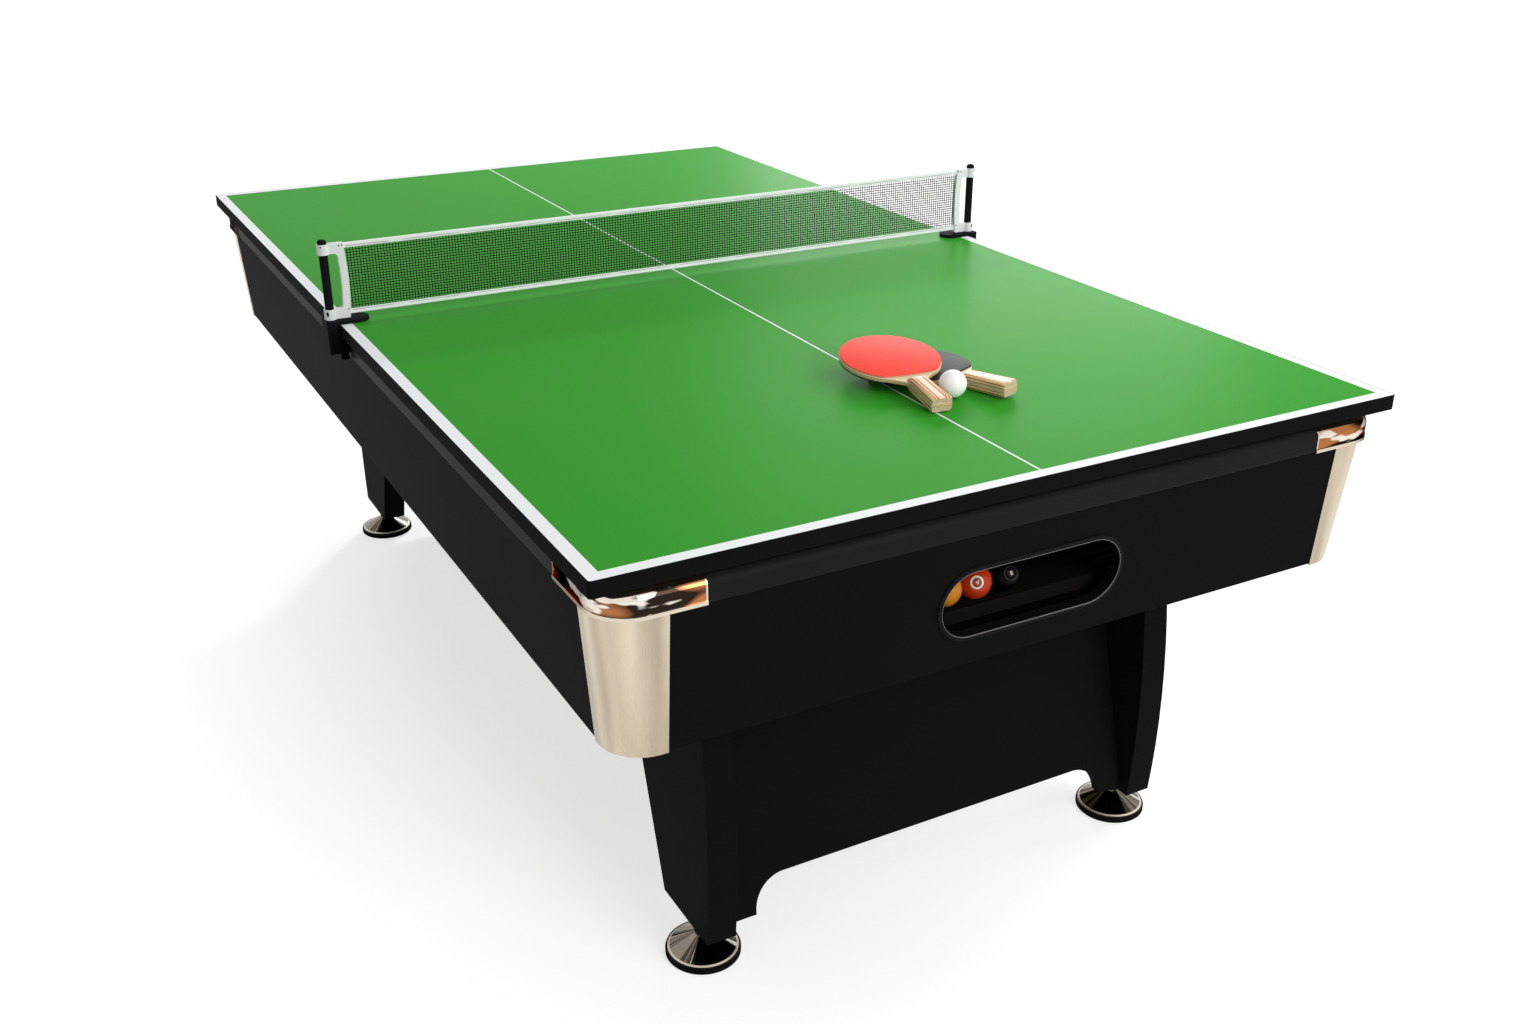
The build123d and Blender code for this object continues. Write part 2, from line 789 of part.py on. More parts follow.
def net_bracket():
    """The right white bracket: two collars on the post and a bowed arm."""
    low = play_height + clamp_plate + seat_gap
    high = play_height + post_height - seat_gap
    arm_x = net_length / 2
    end_x = arm_x + bracket_bow
    half = bracket_arm_depth / 2
    collar = post_diameter / 2 + bracket_wall
    body = None
    for level in (low, high - bracket_tab_height):
        tab = disc(collar, post_x, 0, level, level + bracket_tab_height)
        tab = tab + block(end_x, post_x, -half, half, level, level + bracket_tab_height)
        body = tab if body is None else body + tab
    middle = (low + high) / 2
    net_side = ThreePointArc((end_x, low), (arm_x, middle), (end_x, high))
    post_side = ThreePointArc((end_x + bracket_arm, low), (arm_x + bracket_arm, middle),
                              (end_x + bracket_arm, high))
    ends = Line((end_x, high), (end_x + bracket_arm, high)) + Line((end_x, low), (end_x + bracket_arm, low))
    arm = extrude(make_face(Plane.XZ * (net_side + post_side + ends)), half, both=True)
    body = body + arm
    corners_inside = [
        edge for edge in body.edges().filter_by(Axis.Y)
        if end_x < edge.center().X < post_x and low < edge.center().Z < high
    ]
    body = fillet(corners_inside, bracket_corner_round)
    return body - disc(post_diameter / 2 + seat_gap / 2, post_x, 0, low, high)


def blade_outline(inset):
    """A bat blade's outline, its middle at the origin and the handle to -Y."""
    half_x = blade_width / 2 - inset
    half_y = blade_length / 2 - inset
    shoulder_y = -math.sqrt(half_y ** 2 - (half_y * blade_shoulder / half_x) ** 2)
    oval = Ellipse(half_x, half_y)
    keep = Pos(0, (half_y + shoulder_y) / 2) * Rectangle(2 * half_x, half_y - shoulder_y)
    return oval & keep


def bat_pieces():
    """Blade, two rubbers and two handle scales of a bat lying flat."""
    half_y = blade_length / 2
    shoulder_y = -shoulder_distance()
    end_y = -half_y - handle_length
    half_grip = handle_width / 2
    throat_y = -half_y
    neck = make_face(
        Line((-blade_shoulder, shoulder_y), (blade_shoulder, shoulder_y))
        + Line((blade_shoulder, shoulder_y), (half_grip, throat_y - handle_neck))
        + Line((half_grip, throat_y - handle_neck), (-half_grip, throat_y - handle_neck))
        + Line((-half_grip, throat_y - handle_neck), (-blade_shoulder, shoulder_y))
    )
    tang = make_face(Polyline((-half_grip, throat_y - handle_neck), (half_grip, throat_y - handle_neck),
                              (handle_flare / 2, end_y), (-handle_flare / 2, end_y), close=True))
    half_blade = blade_thickness / 2
    blade = extrude(blade_outline(0) + neck + tang, half_blade, both=True)
    sheet = extrude(blade_outline(rubber_inset), rubber_thickness)
    upper = Pos(0, 0, half_blade) * sheet
    lower = Pos(0, 0, -half_blade - rubber_thickness) * sheet
    grip_depth = (handle_thickness - blade_thickness) / 2
    grip_start = shoulder_y - handle_neck
    grip = make_face(Polyline((-half_grip, grip_start), (half_grip, grip_start),
                              (handle_flare / 2, end_y), (-handle_flare / 2, end_y), close=True))
    scale = extrude(grip, grip_depth)
    rounded = scale.faces().sort_by(Axis.Z)[-1].edges().filter_by(Axis.X, reverse=True)
    scale = fillet(rounded, handle_round)
    top_scale = Pos(0, 0, half_blade) * scale
    bottom_scale = mirror(top_scale, about=Plane.XY)
    return blade, [upper, lower], [top_scale, bottom_scale]


def bat_drop():
    """How far the face of a rubber lies inside the face of the handle."""
    return (handle_thickness - blade_thickness) / 2 - rubber_thickness


def shoulder_distance():
    """From the middle of a blade to its straight cut at the throat."""
    return blade_length / 2 * math.sqrt(1 - (blade_shoulder * 2 / blade_width) ** 2)


def place_bat(shapes, x, y, turn, lean, pivot_y):
    """Lay a bat on the top, leaning about the lower edge of its handle."""
    depth = handle_thickness / 2
    lift = play_height + depth + clearance
    hinge = Pos(0, pivot_y, -depth) * Rot(lean, 0, 0) * Pos(0, -pivot_y, depth)
    return [Pos(x, y, lift) * Rot(0, 0, turn) * hinge * shape for shape in shapes]


def save_bat(name, x, y, turn, lean, pivot_y):
    """Write one bat: its blade, its rubbers and its handle."""
    blade, rubbers, scales = bat_pieces()
    save(f"{name}_blade", *place_bat([blade], x, y, turn, lean, pivot_y))
    save(f"{name}_rubbers", *place_bat(rubbers, x, y, turn, lean, pivot_y))
    save(f"{name}_handle", *place_bat(scales, x, y, turn, lean, pivot_y))


def save_bats():
    """The black bat rests on tip and handle, the red one lies over its blade."""
    grip_y = -shoulder_distance() - handle_neck
    black_lean = math.atan2(bat_drop(), blade_length / 2 - grip_y)
    black_y = -half_top_y + black_bat_from_end
    save_bat("bat_black", black_bat_x, black_y, black_bat_turn, -math.degrees(black_lean), grip_y)
    end_y = -blade_length / 2 - handle_length
    stack = blade_thickness + 2 * rubber_thickness + clearance
    red_lean = math.atan2(stack, (-end_y - shoulder_distance()) * bat_rest_share)
    red_y = -half_top_y + red_bat_from_end
    save_bat("bat_red", red_bat_x, red_y, red_bat_turn, math.degrees(red_lean), end_y)


os.makedirs("parts", exist_ok=True)

left_board, right_board, left_band, right_band = tennis_boards()
save("tennis_top_left", left_board)
save("tennis_top_right", right_board)
save("edge_bands", left_band, right_band)
save("top_rest_pads", *rest_pads())

save("net_clamps", *mirrored_sides(net_clamp()))
post, cap = net_post()
save("net_posts", *mirrored_sides(post), *mirrored_sides(cap))
save("net_brackets", *mirrored_sides(net_bracket()))
save("net_mesh", net_face())
save("net_top_tape", net_tape(play_height + net_height - tape_height))
save("net_bottom_tape", net_tape(play_height + net_drop_gap))
save("clamp_pad_right", clamp_pad())
save("clamp_pad_left", across(clamp_pad()))
save("clamp_screw_right", clamp_screw())
save("clamp_screw_left", across(clamp_screw()))

save_bats()
tennis_ball_radius = tennis_ball_diameter / 2
tennis_ball_y = -half_top_y + tennis_ball_from_end
tennis_ball_z = play_height + clearance + tennis_ball_radius
save("tennis_ball", Pos(tennis_ball_x, tennis_ball_y, tennis_ball_z) * Sphere(tennis_ball_radius))

bed_board, bed_cloth = bed_layers()
save("bed_board", bed_board)
save("bed_cloth", bed_cloth)
rail_front, rail_rear, rail_left, rail_right, caps = rails_and_caps()
save("rail_front", rail_front)
save("rail_rear", rail_rear)
save("rail_left", rail_left)
save("rail_right", rail_right)
save("corner_caps", *caps)
save("end_cushions", *mirrored_ends([end_cushion()]))
save("side_cushions", *mirrored_ends(mirrored_sides(side_cushion())))
save("side_pocket_plates", *mirrored_sides(side_pocket_plate()))
cups = [pocket_cup(*centre) for centre in pocket_centres()]
save("corner_pockets", *cups[:4])
save("side_pockets", *cups[4:])

plain_front = front_apron()
slot_cut = slot_bar(slot_cut_radius, overrun, overrun)
save("apron_front", plain_front - slot_cut)
save("apron_rear", along(plain_front))
save("apron_right", right_apron())
save("apron_left", across(right_apron()))
save("corner_covers", *mirrored_ends(mirrored_sides(corner_cover())))
save("corner_blocks", *mirrored_ends(mirrored_sides(corner_block())))
save("ball_return_bezel", ball_return_bezel())
save("ball_tray", ball_tray())
save("ball_ledge", ball_ledge())
save("runner_rods", *runner_rods())
save("cross_beams", *cross_beams())
save("mount_boards", *mirrored_ends([mount_board()]))
for ball_name, place in (("yellow", -1), ("orange", 0), ("black", 1)):
    save(f"pool_ball_{ball_name}", pool_ball(place))

save("legs", *mirrored_ends(mirrored_sides(leg())))
panel = cross_panel()
save("cross_panel_front", panel)
save("cross_panel_rear", along(panel))
save("leg_bolts", *mirrored_ends([leg_bolt(x, y) for x, y in bolt_places()]))
for side, end in corners:
    label = ("rear" if end > 0 else "front") + ("_right" if side > 0 else "_left")
    spot = Pos(side * foot_x, end * foot_y, 0)
    save(f"foot_metal_{label}", spot * foot_cover(), spot * foot_stud())
    save(f"foot_base_{label}", spot * foot_base())
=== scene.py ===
# %% [markdown]
# # A multi game table
# A pool table of seven feet, with a table tennis top that lifts off. The solid parts were
# drawn in CAD, and they come in here at their right places and sizes. Our work is the looks:
# each hard part gets a finish, and each soft or fine part (the net, its tapes, the bats, the
# cushions) is modelled again with more detail than a solid needs. The bed cloth keeps the
# CAD's mesh, with its points joined.

import json
import math
from functools import partial

import bmesh
import bpy
from mathutils import Matrix, Vector
from mathutils.bvhtree import BVHTree


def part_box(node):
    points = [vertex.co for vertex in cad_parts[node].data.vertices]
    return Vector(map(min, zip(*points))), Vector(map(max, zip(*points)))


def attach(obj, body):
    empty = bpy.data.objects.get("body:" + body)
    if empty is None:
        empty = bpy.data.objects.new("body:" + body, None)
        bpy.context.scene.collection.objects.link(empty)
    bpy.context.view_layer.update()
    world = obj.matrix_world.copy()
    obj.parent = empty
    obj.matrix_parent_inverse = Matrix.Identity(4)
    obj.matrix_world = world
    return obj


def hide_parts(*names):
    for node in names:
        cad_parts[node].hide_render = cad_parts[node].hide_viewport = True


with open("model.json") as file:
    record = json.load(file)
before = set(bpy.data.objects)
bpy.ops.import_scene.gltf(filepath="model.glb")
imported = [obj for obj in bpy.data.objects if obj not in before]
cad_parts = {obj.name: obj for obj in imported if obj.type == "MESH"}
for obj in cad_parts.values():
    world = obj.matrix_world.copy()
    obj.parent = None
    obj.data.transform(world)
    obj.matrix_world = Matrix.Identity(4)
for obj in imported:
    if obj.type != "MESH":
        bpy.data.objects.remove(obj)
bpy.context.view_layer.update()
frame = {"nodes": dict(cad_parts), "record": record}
nodes = frame["nodes"]

# %% [markdown]
# ## The camera
# The table was photographed from the left of its front end, from 1.5 m above the floor.
# Camera matrices are easier to trust than three angles: we work out which way is back,
# right and up for the given azimuth and height, and write them as columns.

# %% The camera
def new_object(name, data):
    """An object that shows some data, in the scene."""
    made = bpy.data.objects.new(name, data)
    bpy.context.scene.collection.objects.link(made)
    return made


photo_width, focal_pixels = 1536, 1515.0
azimuth, elevation, roll = (math.radians(a) for a in (-28.677, 24.308, 0.111))
camera_place = Vector((-1.1517, -2.4377, 1.5099))

back = Vector((math.sin(azimuth) * math.cos(elevation),
               -math.cos(azimuth) * math.cos(elevation), math.sin(elevation)))
level_right = Vector((0, 0, 1)).cross(back).normalized()
level_up = back.cross(level_right)
right = math.cos(roll) * level_right + math.sin(roll) * level_up
up = -math.sin(roll) * level_right + math.cos(roll) * level_up

lens = bpy.data.cameras.new("table_camera")
lens.sensor_width = 36
lens.lens = focal_pixels / photo_width * lens.sensor_width
camera = new_object("table_camera", lens)
turned = Matrix((right, up, back)).transposed().to_4x4()
camera.matrix_world = Matrix.Translation(camera_place) @ turned
bpy.context.scene.camera = camera
print("lens:", round(lens.lens, 2), "mm")

# %% [markdown]
# ## Helpers for nodes
# Materials, the world and Geometry Nodes are all trees of nodes, so they are built with the
# same few helpers. A socket knows the tree that it is in. That is why most helpers need no
# tree: they add their node where the sockets among their values are.

# %% Add nodes
def node(kind, inputs=None, tree=None, **settings):
    """Add a node, set its settings, and fill or link its inputs by name or number."""
    inputs = inputs or {}
    linked = [name for name, v in inputs.items() if isinstance(v, bpy.types.NodeSocket)]
    tree = tree or inputs[linked[0]].id_data
    made = tree.nodes.new(kind)
    for name, value in settings.items():
        setattr(made, name, value)
    for name, value in inputs.items():
        if name in linked:
            tree.links.new(value, made.inputs[name])
        else:
            made.inputs[name].default_value = value
    return made


def maths(operation, *values):
    """One step of arithmetic on numbers."""
    return node("ShaderNodeMath", dict(enumerate(values)), operation=operation).outputs[0]


def vectors(operation, *values):
    """One step of arithmetic on vectors."""
    made = node("ShaderNodeVectorMath", dict(enumerate(values)), operation=operation)
    return made.outputs["Value" if operation == "LENGTH" else "Vector"]


plus, minus, ratio, larger, size_of = (
    partial(maths, operation) for operation in ("ADD", "SUBTRACT", "DIVIDE", "MAXIMUM",
                                                "ABSOLUTE"))


def product(*values):
    """Numbers multiplied, the first with the second, and so on."""
    result = values[0]
    for value in values[1:]:
        result = maths("MULTIPLY", result, value)
    return result


def rest_of(value):
    """What is missing from 1."""
    return minus(1.0, value)


def weighed(first, share, second):
    """A share of the first number, and the rest of the second."""
    return plus(product(first, share), product(second, 1 - share))


def fade(value, start, end, low=0.0, high=1.0):
    """Map start to end onto low to high, and stay level outside."""
    return node("ShaderNodeMapRange", {"Value": value, "From Min": start, "From Max": end,
                                       "To Min": low, "To Max": high}).outputs[0]


def spread(value, low, high):
    """Map 0 to 1 onto low to high."""
    return fade(value, 0.0, 1.0, low, high)


def axes(vector):
    """The three numbers of a vector."""
    return node("ShaderNodeSeparateXYZ", {0: vector}).outputs


def xyz(x=0.0, y=0.0, z=0.0):
    """A vector from three numbers or sockets."""
    return node("ShaderNodeCombineXYZ", {0: x, 1: y, 2: z}).outputs[0]


def noise(place, scale, detail, roughness=0.5):
    """Soft random clouds."""
    return node("ShaderNodeTexNoise", {"Vector": place, "Scale": scale, "Detail": detail,
                                       "Roughness": roughness}).outputs[0]


# %% Build a group of nodes
socket_kinds = {int: "Int", float: "Float", tuple: "Vector", type(None): "Material",
                str: "Geometry"}


def group_tree(kind, name, inputs, outputs):
    """An empty group: returns its tree, its given values and where its results go."""
    group = bpy.data.node_groups.new(name, kind + "NodeTree")
    for in_out, sockets in (("INPUT", inputs), ("OUTPUT", outputs)):
        for label, value in sockets.items():
            socket = group.interface.new_socket(
                name=label, in_out=in_out, socket_type="NodeSocket" + socket_kinds[type(value)])
            if in_out == "INPUT" and isinstance(value, (int, float, tuple)):
                socket.default_value = value
    ends = group.nodes.new("NodeGroupInput"), group.nodes.new("NodeGroupOutput")
    return group, ends[0].outputs, ends[1].inputs


def give(out, **results):
    """Link the results of a group."""
    for label, value in results.items():
        value.id_data.links.new(value, out[label])


def clean_tree(owner):
    """An empty node tree for a material or a world."""
    owner.use_nodes = True
    owner.node_tree.nodes.clear()
    return owner.node_tree


# %% [markdown]
# ## The studio
# A cut-out photograph has a white ground with a soft shadow under the feet. The lamps only
# light the table to a plain level. The white comes from the world and the floor themselves:
# rays that go straight to the camera, or that a shiny or clear thing sends on, see a
# strength of 1, and all other rays see a dimmer sky.

# %% The white world
def seen_by_eye(tree):
    """1 for a ray from the camera, or one that a shiny or clear surface sends on."""
    path = node("ShaderNodeLightPath", tree=tree).outputs
    either = larger(path["Is Camera Ray"], path["Is Glossy Ray"])
    return larger(either, path["Is Transmission Ray"])


sky_strength, white = 0.50, (1, 1, 1, 1)
world = bpy.data.worlds.new("white_studio")
sky = clean_tree(world)
dim, bright = (node("ShaderNodeBackground", {"Color": white, "Strength": strength}, sky)
               for strength in (sky_strength, 1.0))
shown = node("ShaderNodeMixShader", {0: seen_by_eye(sky), 1: dim.outputs[0],
                                     2: bright.outputs[0]})
node("ShaderNodeOutputWorld", {"Surface": shown.outputs[0]})
bpy.context.scene.world = world
bpy.context.scene.view_settings.view_transform = "Standard"
print("sky strength, seen and unseen:", 1.0, sky_strength)

# %% The lamps
def soft_lamp(name, place, target, size, power, mirrored=True):
    """A square lamp with a soft edge, turned to a point; shiny things may leave it out."""
    lamp = bpy.data.lights.new(name, "AREA")
    lamp.size, lamp.energy = size, power
    lamp_object = new_object(name, lamp)
    lamp_object.location = place
    aim = Vector(target) - Vector(place)
    lamp_object.rotation_euler = aim.to_track_quat("-Z", "Y").to_euler()
    lamp_object.visible_glossy = mirrored


soft_lamp("rear_lamp", (1.75, 3.5, 2.75), (0, -0.2, 0.7), 0.4, 88, False)
soft_lamp("right_lamp", (2.4, -0.6, 2.3), (0, 0, 0.7), 1.4, 40, False)
soft_lamp("haze_lamp", (4.0, 4.4, 2.3), (0, 0, 0.7), 2.8, 90)
soft_lamp("front_lamp", (0.9, -4.5, 2.3), (0, 0, 0.6), 2.5, 118)
print("lamps:", len(bpy.data.lights))

# %% The floor
floor_radius, floor_step = 40, 5
near_colour, far_colour = 0.50, 0.20
near_lift, far_lift = 0.63, 0.95
reach = (1.0, 2.3)
floor_stretch = (2.1, 1.0, 1.0)
floor_mesh = bpy.data.meshes.new("studio_floor")
rim = [(floor_radius * math.cos(math.radians(a)), floor_radius * math.sin(math.radians(a)), 0)
       for a in range(0, 360, floor_step)]
floor_mesh.from_pydata(rim, [], [tuple(range(len(rim)))])
new_object("studio_floor", floor_mesh)

floor_paint = bpy.data.materials.new("pale_floor")
tree = clean_tree(floor_paint)
place = node("ShaderNodeTexCoord", tree=tree).outputs["Object"]
away = vectors("LENGTH", vectors("MULTIPLY", place, floor_stretch))
matt = node("ShaderNodeBsdfDiffuse", {"Color": fade(away, *reach, near_colour, far_colour)})
lift = fade(away, *reach, near_lift, far_lift)
glow = node("ShaderNodeEmission", {"Color": white, "Strength": product(seen_by_eye(tree), lift)})
both = node("ShaderNodeAddShader", {0: matt.outputs[0], 1: glow.outputs[0]})
node("ShaderNodeOutputMaterial", {"Surface": both.outputs[0]})
floor_mesh.materials.append(floor_paint)
print("floor points:", len(rim))

# %% [markdown]
# ## Effects that several finishes share
# A shader node group is a small machine with named sockets. We build five of them once:
# a fine mottle, a brushed grain, a woven cloth, a wood figure, and a sharp line between two
# levels. Each finish then places the groups it needs and sets its own numbers.

# %% The mottle and the brushed grain
shader_group = partial(group_tree, "Shader")
nowhere = (0.0, 0.0, 0.0)

mottle, given, out = shader_group("fine_mottle", {
    "Place": nowhere, "Cells per metre": 900.0, "Clouds per metre": 6.0},
    {"Tone": 0.0, "Height": 0.0})
fine = noise(given["Place"], given["Cells per metre"], 2.0)
cloud = noise(given["Place"], given["Clouds per metre"], 3.0)
give(out, Tone=weighed(fine, 0.45, cloud), Height=fine)

brushed, given, out = shader_group("brushed_grain", {
    "Place": nowhere, "Stretch": (1.0, 1.0, 0.03), "Lines per metre": 2200.0},
    {"Tone": 0.0, "Height": 0.0})
drawn = vectors("MULTIPLY", given["Place"], given["Stretch"])
hairs = noise(drawn, given["Lines per metre"], 2.0, 0.6)
bands = noise(drawn, product(given["Lines per metre"], 0.04), 1.0)
give(out, Tone=weighed(hairs, 0.2, bands), Height=hairs)

# %% The woven cloth and the wood figure
woven, given, out = shader_group("woven_cloth", {"Place": nowhere, "Threads per metre": 900.0},
                                 {"Thread": 0.0, "Height": 0.0, "Fuzz": 0.0})
split = axes(given["Place"])
turn = product(given["Threads per metre"], 2 * math.pi)
warp, weft = (maths("SINE", product(plus(split[k], split[2]), turn)) for k in (0, 1))
thread = spread(plus(product(warp, weft, 0.5), 0.5), 0.0, 1.0)
fuzz = noise(given["Place"], 1500.0, 3.0)
give(out, Thread=thread, Height=weighed(thread, 0.6, fuzz), Fuzz=fuzz)

figure, given, out = shader_group("wood_figure", {
    "Place": nowhere, "Stretch": (1.0, 0.06, 1.0), "Rings per metre": 130.0,
    "Fibres per metre": 2400.0}, {"Tone": 0.0, "Height": 0.0})
drawn = vectors("MULTIPLY", given["Place"], given["Stretch"])
rings = node("ShaderNodeTexWave", {
    "Vector": drawn, "Scale": given["Rings per metre"], "Distortion": 5.0, "Detail": 2.0,
    "Detail Scale": 1.4}, wave_profile="SIN", bands_direction="X").outputs[1]
fibres = noise(drawn, given["Fibres per metre"], 3.0)
give(out, Tone=weighed(rings, 0.5, fibres), Height=fibres)

# %% The sharp step
step, given, out = shader_group("sharp_step", {"Value": 0.0, "Level": 0.0, "Softness": 0.0004},
                                {"Above": 0.0})
beyond = minus(given["Value"], given["Level"])
give(out, Above=fade(ratio(beyond, given["Softness"]), -0.5, 0.5))
print("shader groups:", [g.name for g in bpy.data.node_groups])

# %% [markdown]
# ## Finishes
# Every finish starts as a Principled BSDF. What is the same all over (metal or not, coat,
# gloss level) is set on the shader's own sockets. What changes over the surface (colour,
# roughness, fine height) comes in through nodes, which read where a point lies: on the
# table, or on a piece in an attribute that the piece keeps.

# %% Start and complete a finish
def new_finish(name, metallic=0.0, attribute=None, **constants):
    """A material with a Principled BSDF: returns both, and the place of a point."""
    material = bpy.data.materials.new(name)
    tree = clean_tree(material)
    shader = node("ShaderNodeBsdfPrincipled", {"Metallic": metallic}, tree)
    for label, value in constants.items():
        shader.inputs[label.replace("_", " ")].default_value = value
    node("ShaderNodeOutputMaterial", {"Surface": shader.outputs[0]})
    if attribute:
        kept = node("ShaderNodeAttribute", tree=tree, attribute_name=attribute)
        return (material, shader), kept.outputs["Vector"]
    return (material, shader), node("ShaderNodeTexCoord", tree=tree).outputs["Object"]


def complete(finish, colour, roughness, height=None, depth=0.0):
    """Feed a finish its colour, its roughness and a relief, depth metres deep."""
    material, shader = finish
    link = material.node_tree.links.new
    link(colour, shader.inputs["Base Color"])
    link(roughness, shader.inputs["Roughness"])
    if height is not None:
        bump = node("ShaderNodeBump", {"Height": height, "Distance": depth, "Strength": 1.0})
        link(bump.outputs[0], shader.inputs["Normal"])
    return material


# %% Use the groups
def use_group(group, inputs):
    """Place a shared group in a finish."""
    return node("ShaderNodeGroup", inputs, node_tree=group).outputs


def speckles(place, cells, clouds):
    """The mottle, with so many cells and clouds in a metre."""
    return use_group(mottle, {"Place": place, "Cells per metre": cells,
                              "Clouds per metre": clouds})


def above(value, level, softness=0.0004):
    """1 above a level and 0 below it, with a soft step."""
    return use_group(step, {"Value": value, "Level": level, "Softness": softness})[0]


def band(value, low, high, softness):
    """1 between two levels."""
    return minus(above(value, low, softness), above(value, high, softness))


def blend(factor, low, high):
    """A colour between two, each a tuple or a socket."""
    low, high = (c if isinstance(c, bpy.types.NodeSocket) else (*c, 1.0) for c in (low, high))
    return node("ShaderNodeMix", {0: factor, 6: low, 7: high}, data_type="RGBA").outputs[2]


def grey(level):
    """A colour without a tint."""
    return (level, level, level)


# %% [markdown]
# Paint, plastic, rubber and laminate differ only in numbers, so one table holds them all:
# two near colours, two ends of the roughness, the cells and clouds in a metre, the depth of
# the relief and the gloss level. The blacks have a low gloss level, because they face a
# white studio and would look grey otherwise.

# %% Plastics, rubbers, paints, balls and numbers
def speckled_finish(name, paint, rough, cells, clouds, depth, gloss=0.5, attribute=None):
    """Fine cells and wide clouds; paint says the colour for a place and a tone."""
    finish, place = new_finish(name, attribute=attribute, Specular_IOR_Level=gloss)
    spots = speckles(place, cells, clouds)
    return complete(finish, paint(place, spots["Tone"]), spread(spots["Tone"], *rough),
                    spots["Height"], depth)


def two_tones(low, high):
    """A paint that only goes from one colour to a near one."""
    return lambda place, tone: blend(tone, low, high)


ball_numbers = (0.16, 0.24), 600, 60, 0.000001
digit_numbers = (0.3, 0.4), 900, 80, 0.000001
mottled = {name: speckled_finish(name, two_tones(low, high), *numbers)
           for name, low, high, *numbers in (
    ("black_plastic", grey(0.005), grey(0.009), (0.56, 0.68), 1600, 10, 0.00002, 0.008),
    ("satin_black_paint", (0.006, 0.006, 0.007), (0.011, 0.011, 0.012), (0.50, 0.62), 1100, 14,
     0.00001, 0.008),
    ("pad_rubber", grey(0.012), grey(0.022), (0.7, 0.85), 2200, 20, 0.00004, 0.3),
    ("matt_black_laminate", grey(0.0045), grey(0.0075), (0.55, 0.68), 2600, 3, 0.000012, 0.012),
    # This ledge colour is painted shade: near black, for the inside of the ball return.
    ("ledge_in_painted_shade", (0.004, 0.0037, 0.0033), (0.007, 0.0065, 0.006), (0.6, 0.75), 1400, 12,
     0.00002, 0.03),
    # This near-black finish is painted shade for the parts inside the cabinet.
    ("interior_painted_shade", (0.0012, 0.0011, 0.0011), (0.0026, 0.0023, 0.0021), (0.7, 0.8), 1400, 12,
     0.00002, 0.01),
    ("white_plastic", (0.70, 0.70, 0.71), grey(0.80), (0.42, 0.55), 1500, 60, 0.00006),
    ("ball_shell", (0.93, 0.93, 0.92), (0.96, 0.96, 0.95), (0.42, 0.5), 2600, 40, 0.000008),
    ("orange_ball", (0.45, 0.034, 0.004), (0.54, 0.046, 0.006), *ball_numbers, 0.16),
    ("yellow_ball", (0.54, 0.18, 0.005), (0.64, 0.23, 0.008), *ball_numbers, 0.16),
    ("black_ball", grey(0.0008), grey(0.0018), *ball_numbers, 0.05),
    ("number_white", (0.70, 0.66, 0.58), (0.78, 0.74, 0.66), *digit_numbers, 0.16),
    ("number_brown", (0.22, 0.030, 0.006), (0.28, 0.042, 0.010), *digit_numbers, 0.16),
    ("number_grey", (0.020, 0.020, 0.021), (0.035, 0.035, 0.036), *digit_numbers, 0.16))}
print("mottled finishes:", len(mottled))

# %% [markdown]
# The champagne sheet at the corners was brushed from top to bottom, so its grain is drawn
# out along Z. Wide soft bands from dark to pale in its colour are painted reflections of
# the bent sheet. The bolts are drawn steel.

# %% Brushed metals
def grain_at(place, stretch, lines):
    """The brushed grain, drawn out by a factor along each axis."""
    return use_group(brushed, {"Place": place, "Stretch": stretch, "Lines per metre": lines})


def brushed_finish(name, low, high, rough, stretch, lines, depth):
    """A metal with a drawn grain."""
    finish, place = new_finish(name, metallic=1.0)
    grain = grain_at(place, stretch, lines)
    return complete(finish, blend(grain["Tone"], low, high), spread(grain["Tone"], *rough),
                    grain["Height"], depth)


# Wide bands from the dark to the pale colour are painted reflections; the fine hairs are grain.
champagne = brushed_finish("champagne_sheet", (0.17, 0.13, 0.085), (0.90, 0.775, 0.60),
                           (0.26, 0.38), (1.0, 1.0, 0.003), 800.0, 0.000004)
plain_steel = brushed_finish("drawn_steel", grey(0.36), grey(0.5), (0.28, 0.4),
                             (0.02, 0.02, 1.0), 1800.0, 0.000006)

# %% [markdown]
# The corner castings are polished metal, and painted reflections stand in their colour:
# streaks of champagne and copper over a dark ground are painted reflections. Two noises
# choose the place of the streaks. The lip round the foot of a casting, the ends of its arms
# and its upper face are painted pale, as a painted highlight: a level in Z, two distances
# from the middle of the table, and the way the surface faces find them.

# %% Castings with painted reflections
casting_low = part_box("corner_caps")[0]
casting_points = [v.co for v in nodes["corner_caps"].data.vertices]
arm_ends = [min(abs(p[axis]) for p in casting_points) for axis in (0, 1)]
lip_highlight_height, arm_end_highlight = 0.0048, 0.0022
streak_scale, tint_scale = 44.0, 15.0
streak_shift, streak_stretch = (0.37, 0.11, 0.0), (0.45, 0.45, 1.6)
# Colours of the painted reflections, and of the painted highlight.
dark_reflection, copper_reflection = (0.022, 0.015, 0.011), (0.42, 0.16, 0.060)
pale_reflection, casting_edge_highlight = (0.80, 0.73, 0.64), (0.66, 0.58, 0.47)


def moved_place(place, shift):
    """A place, moved."""
    return node("ShaderNodeMapping", {"Vector": place, "Location": shift}).outputs[0]


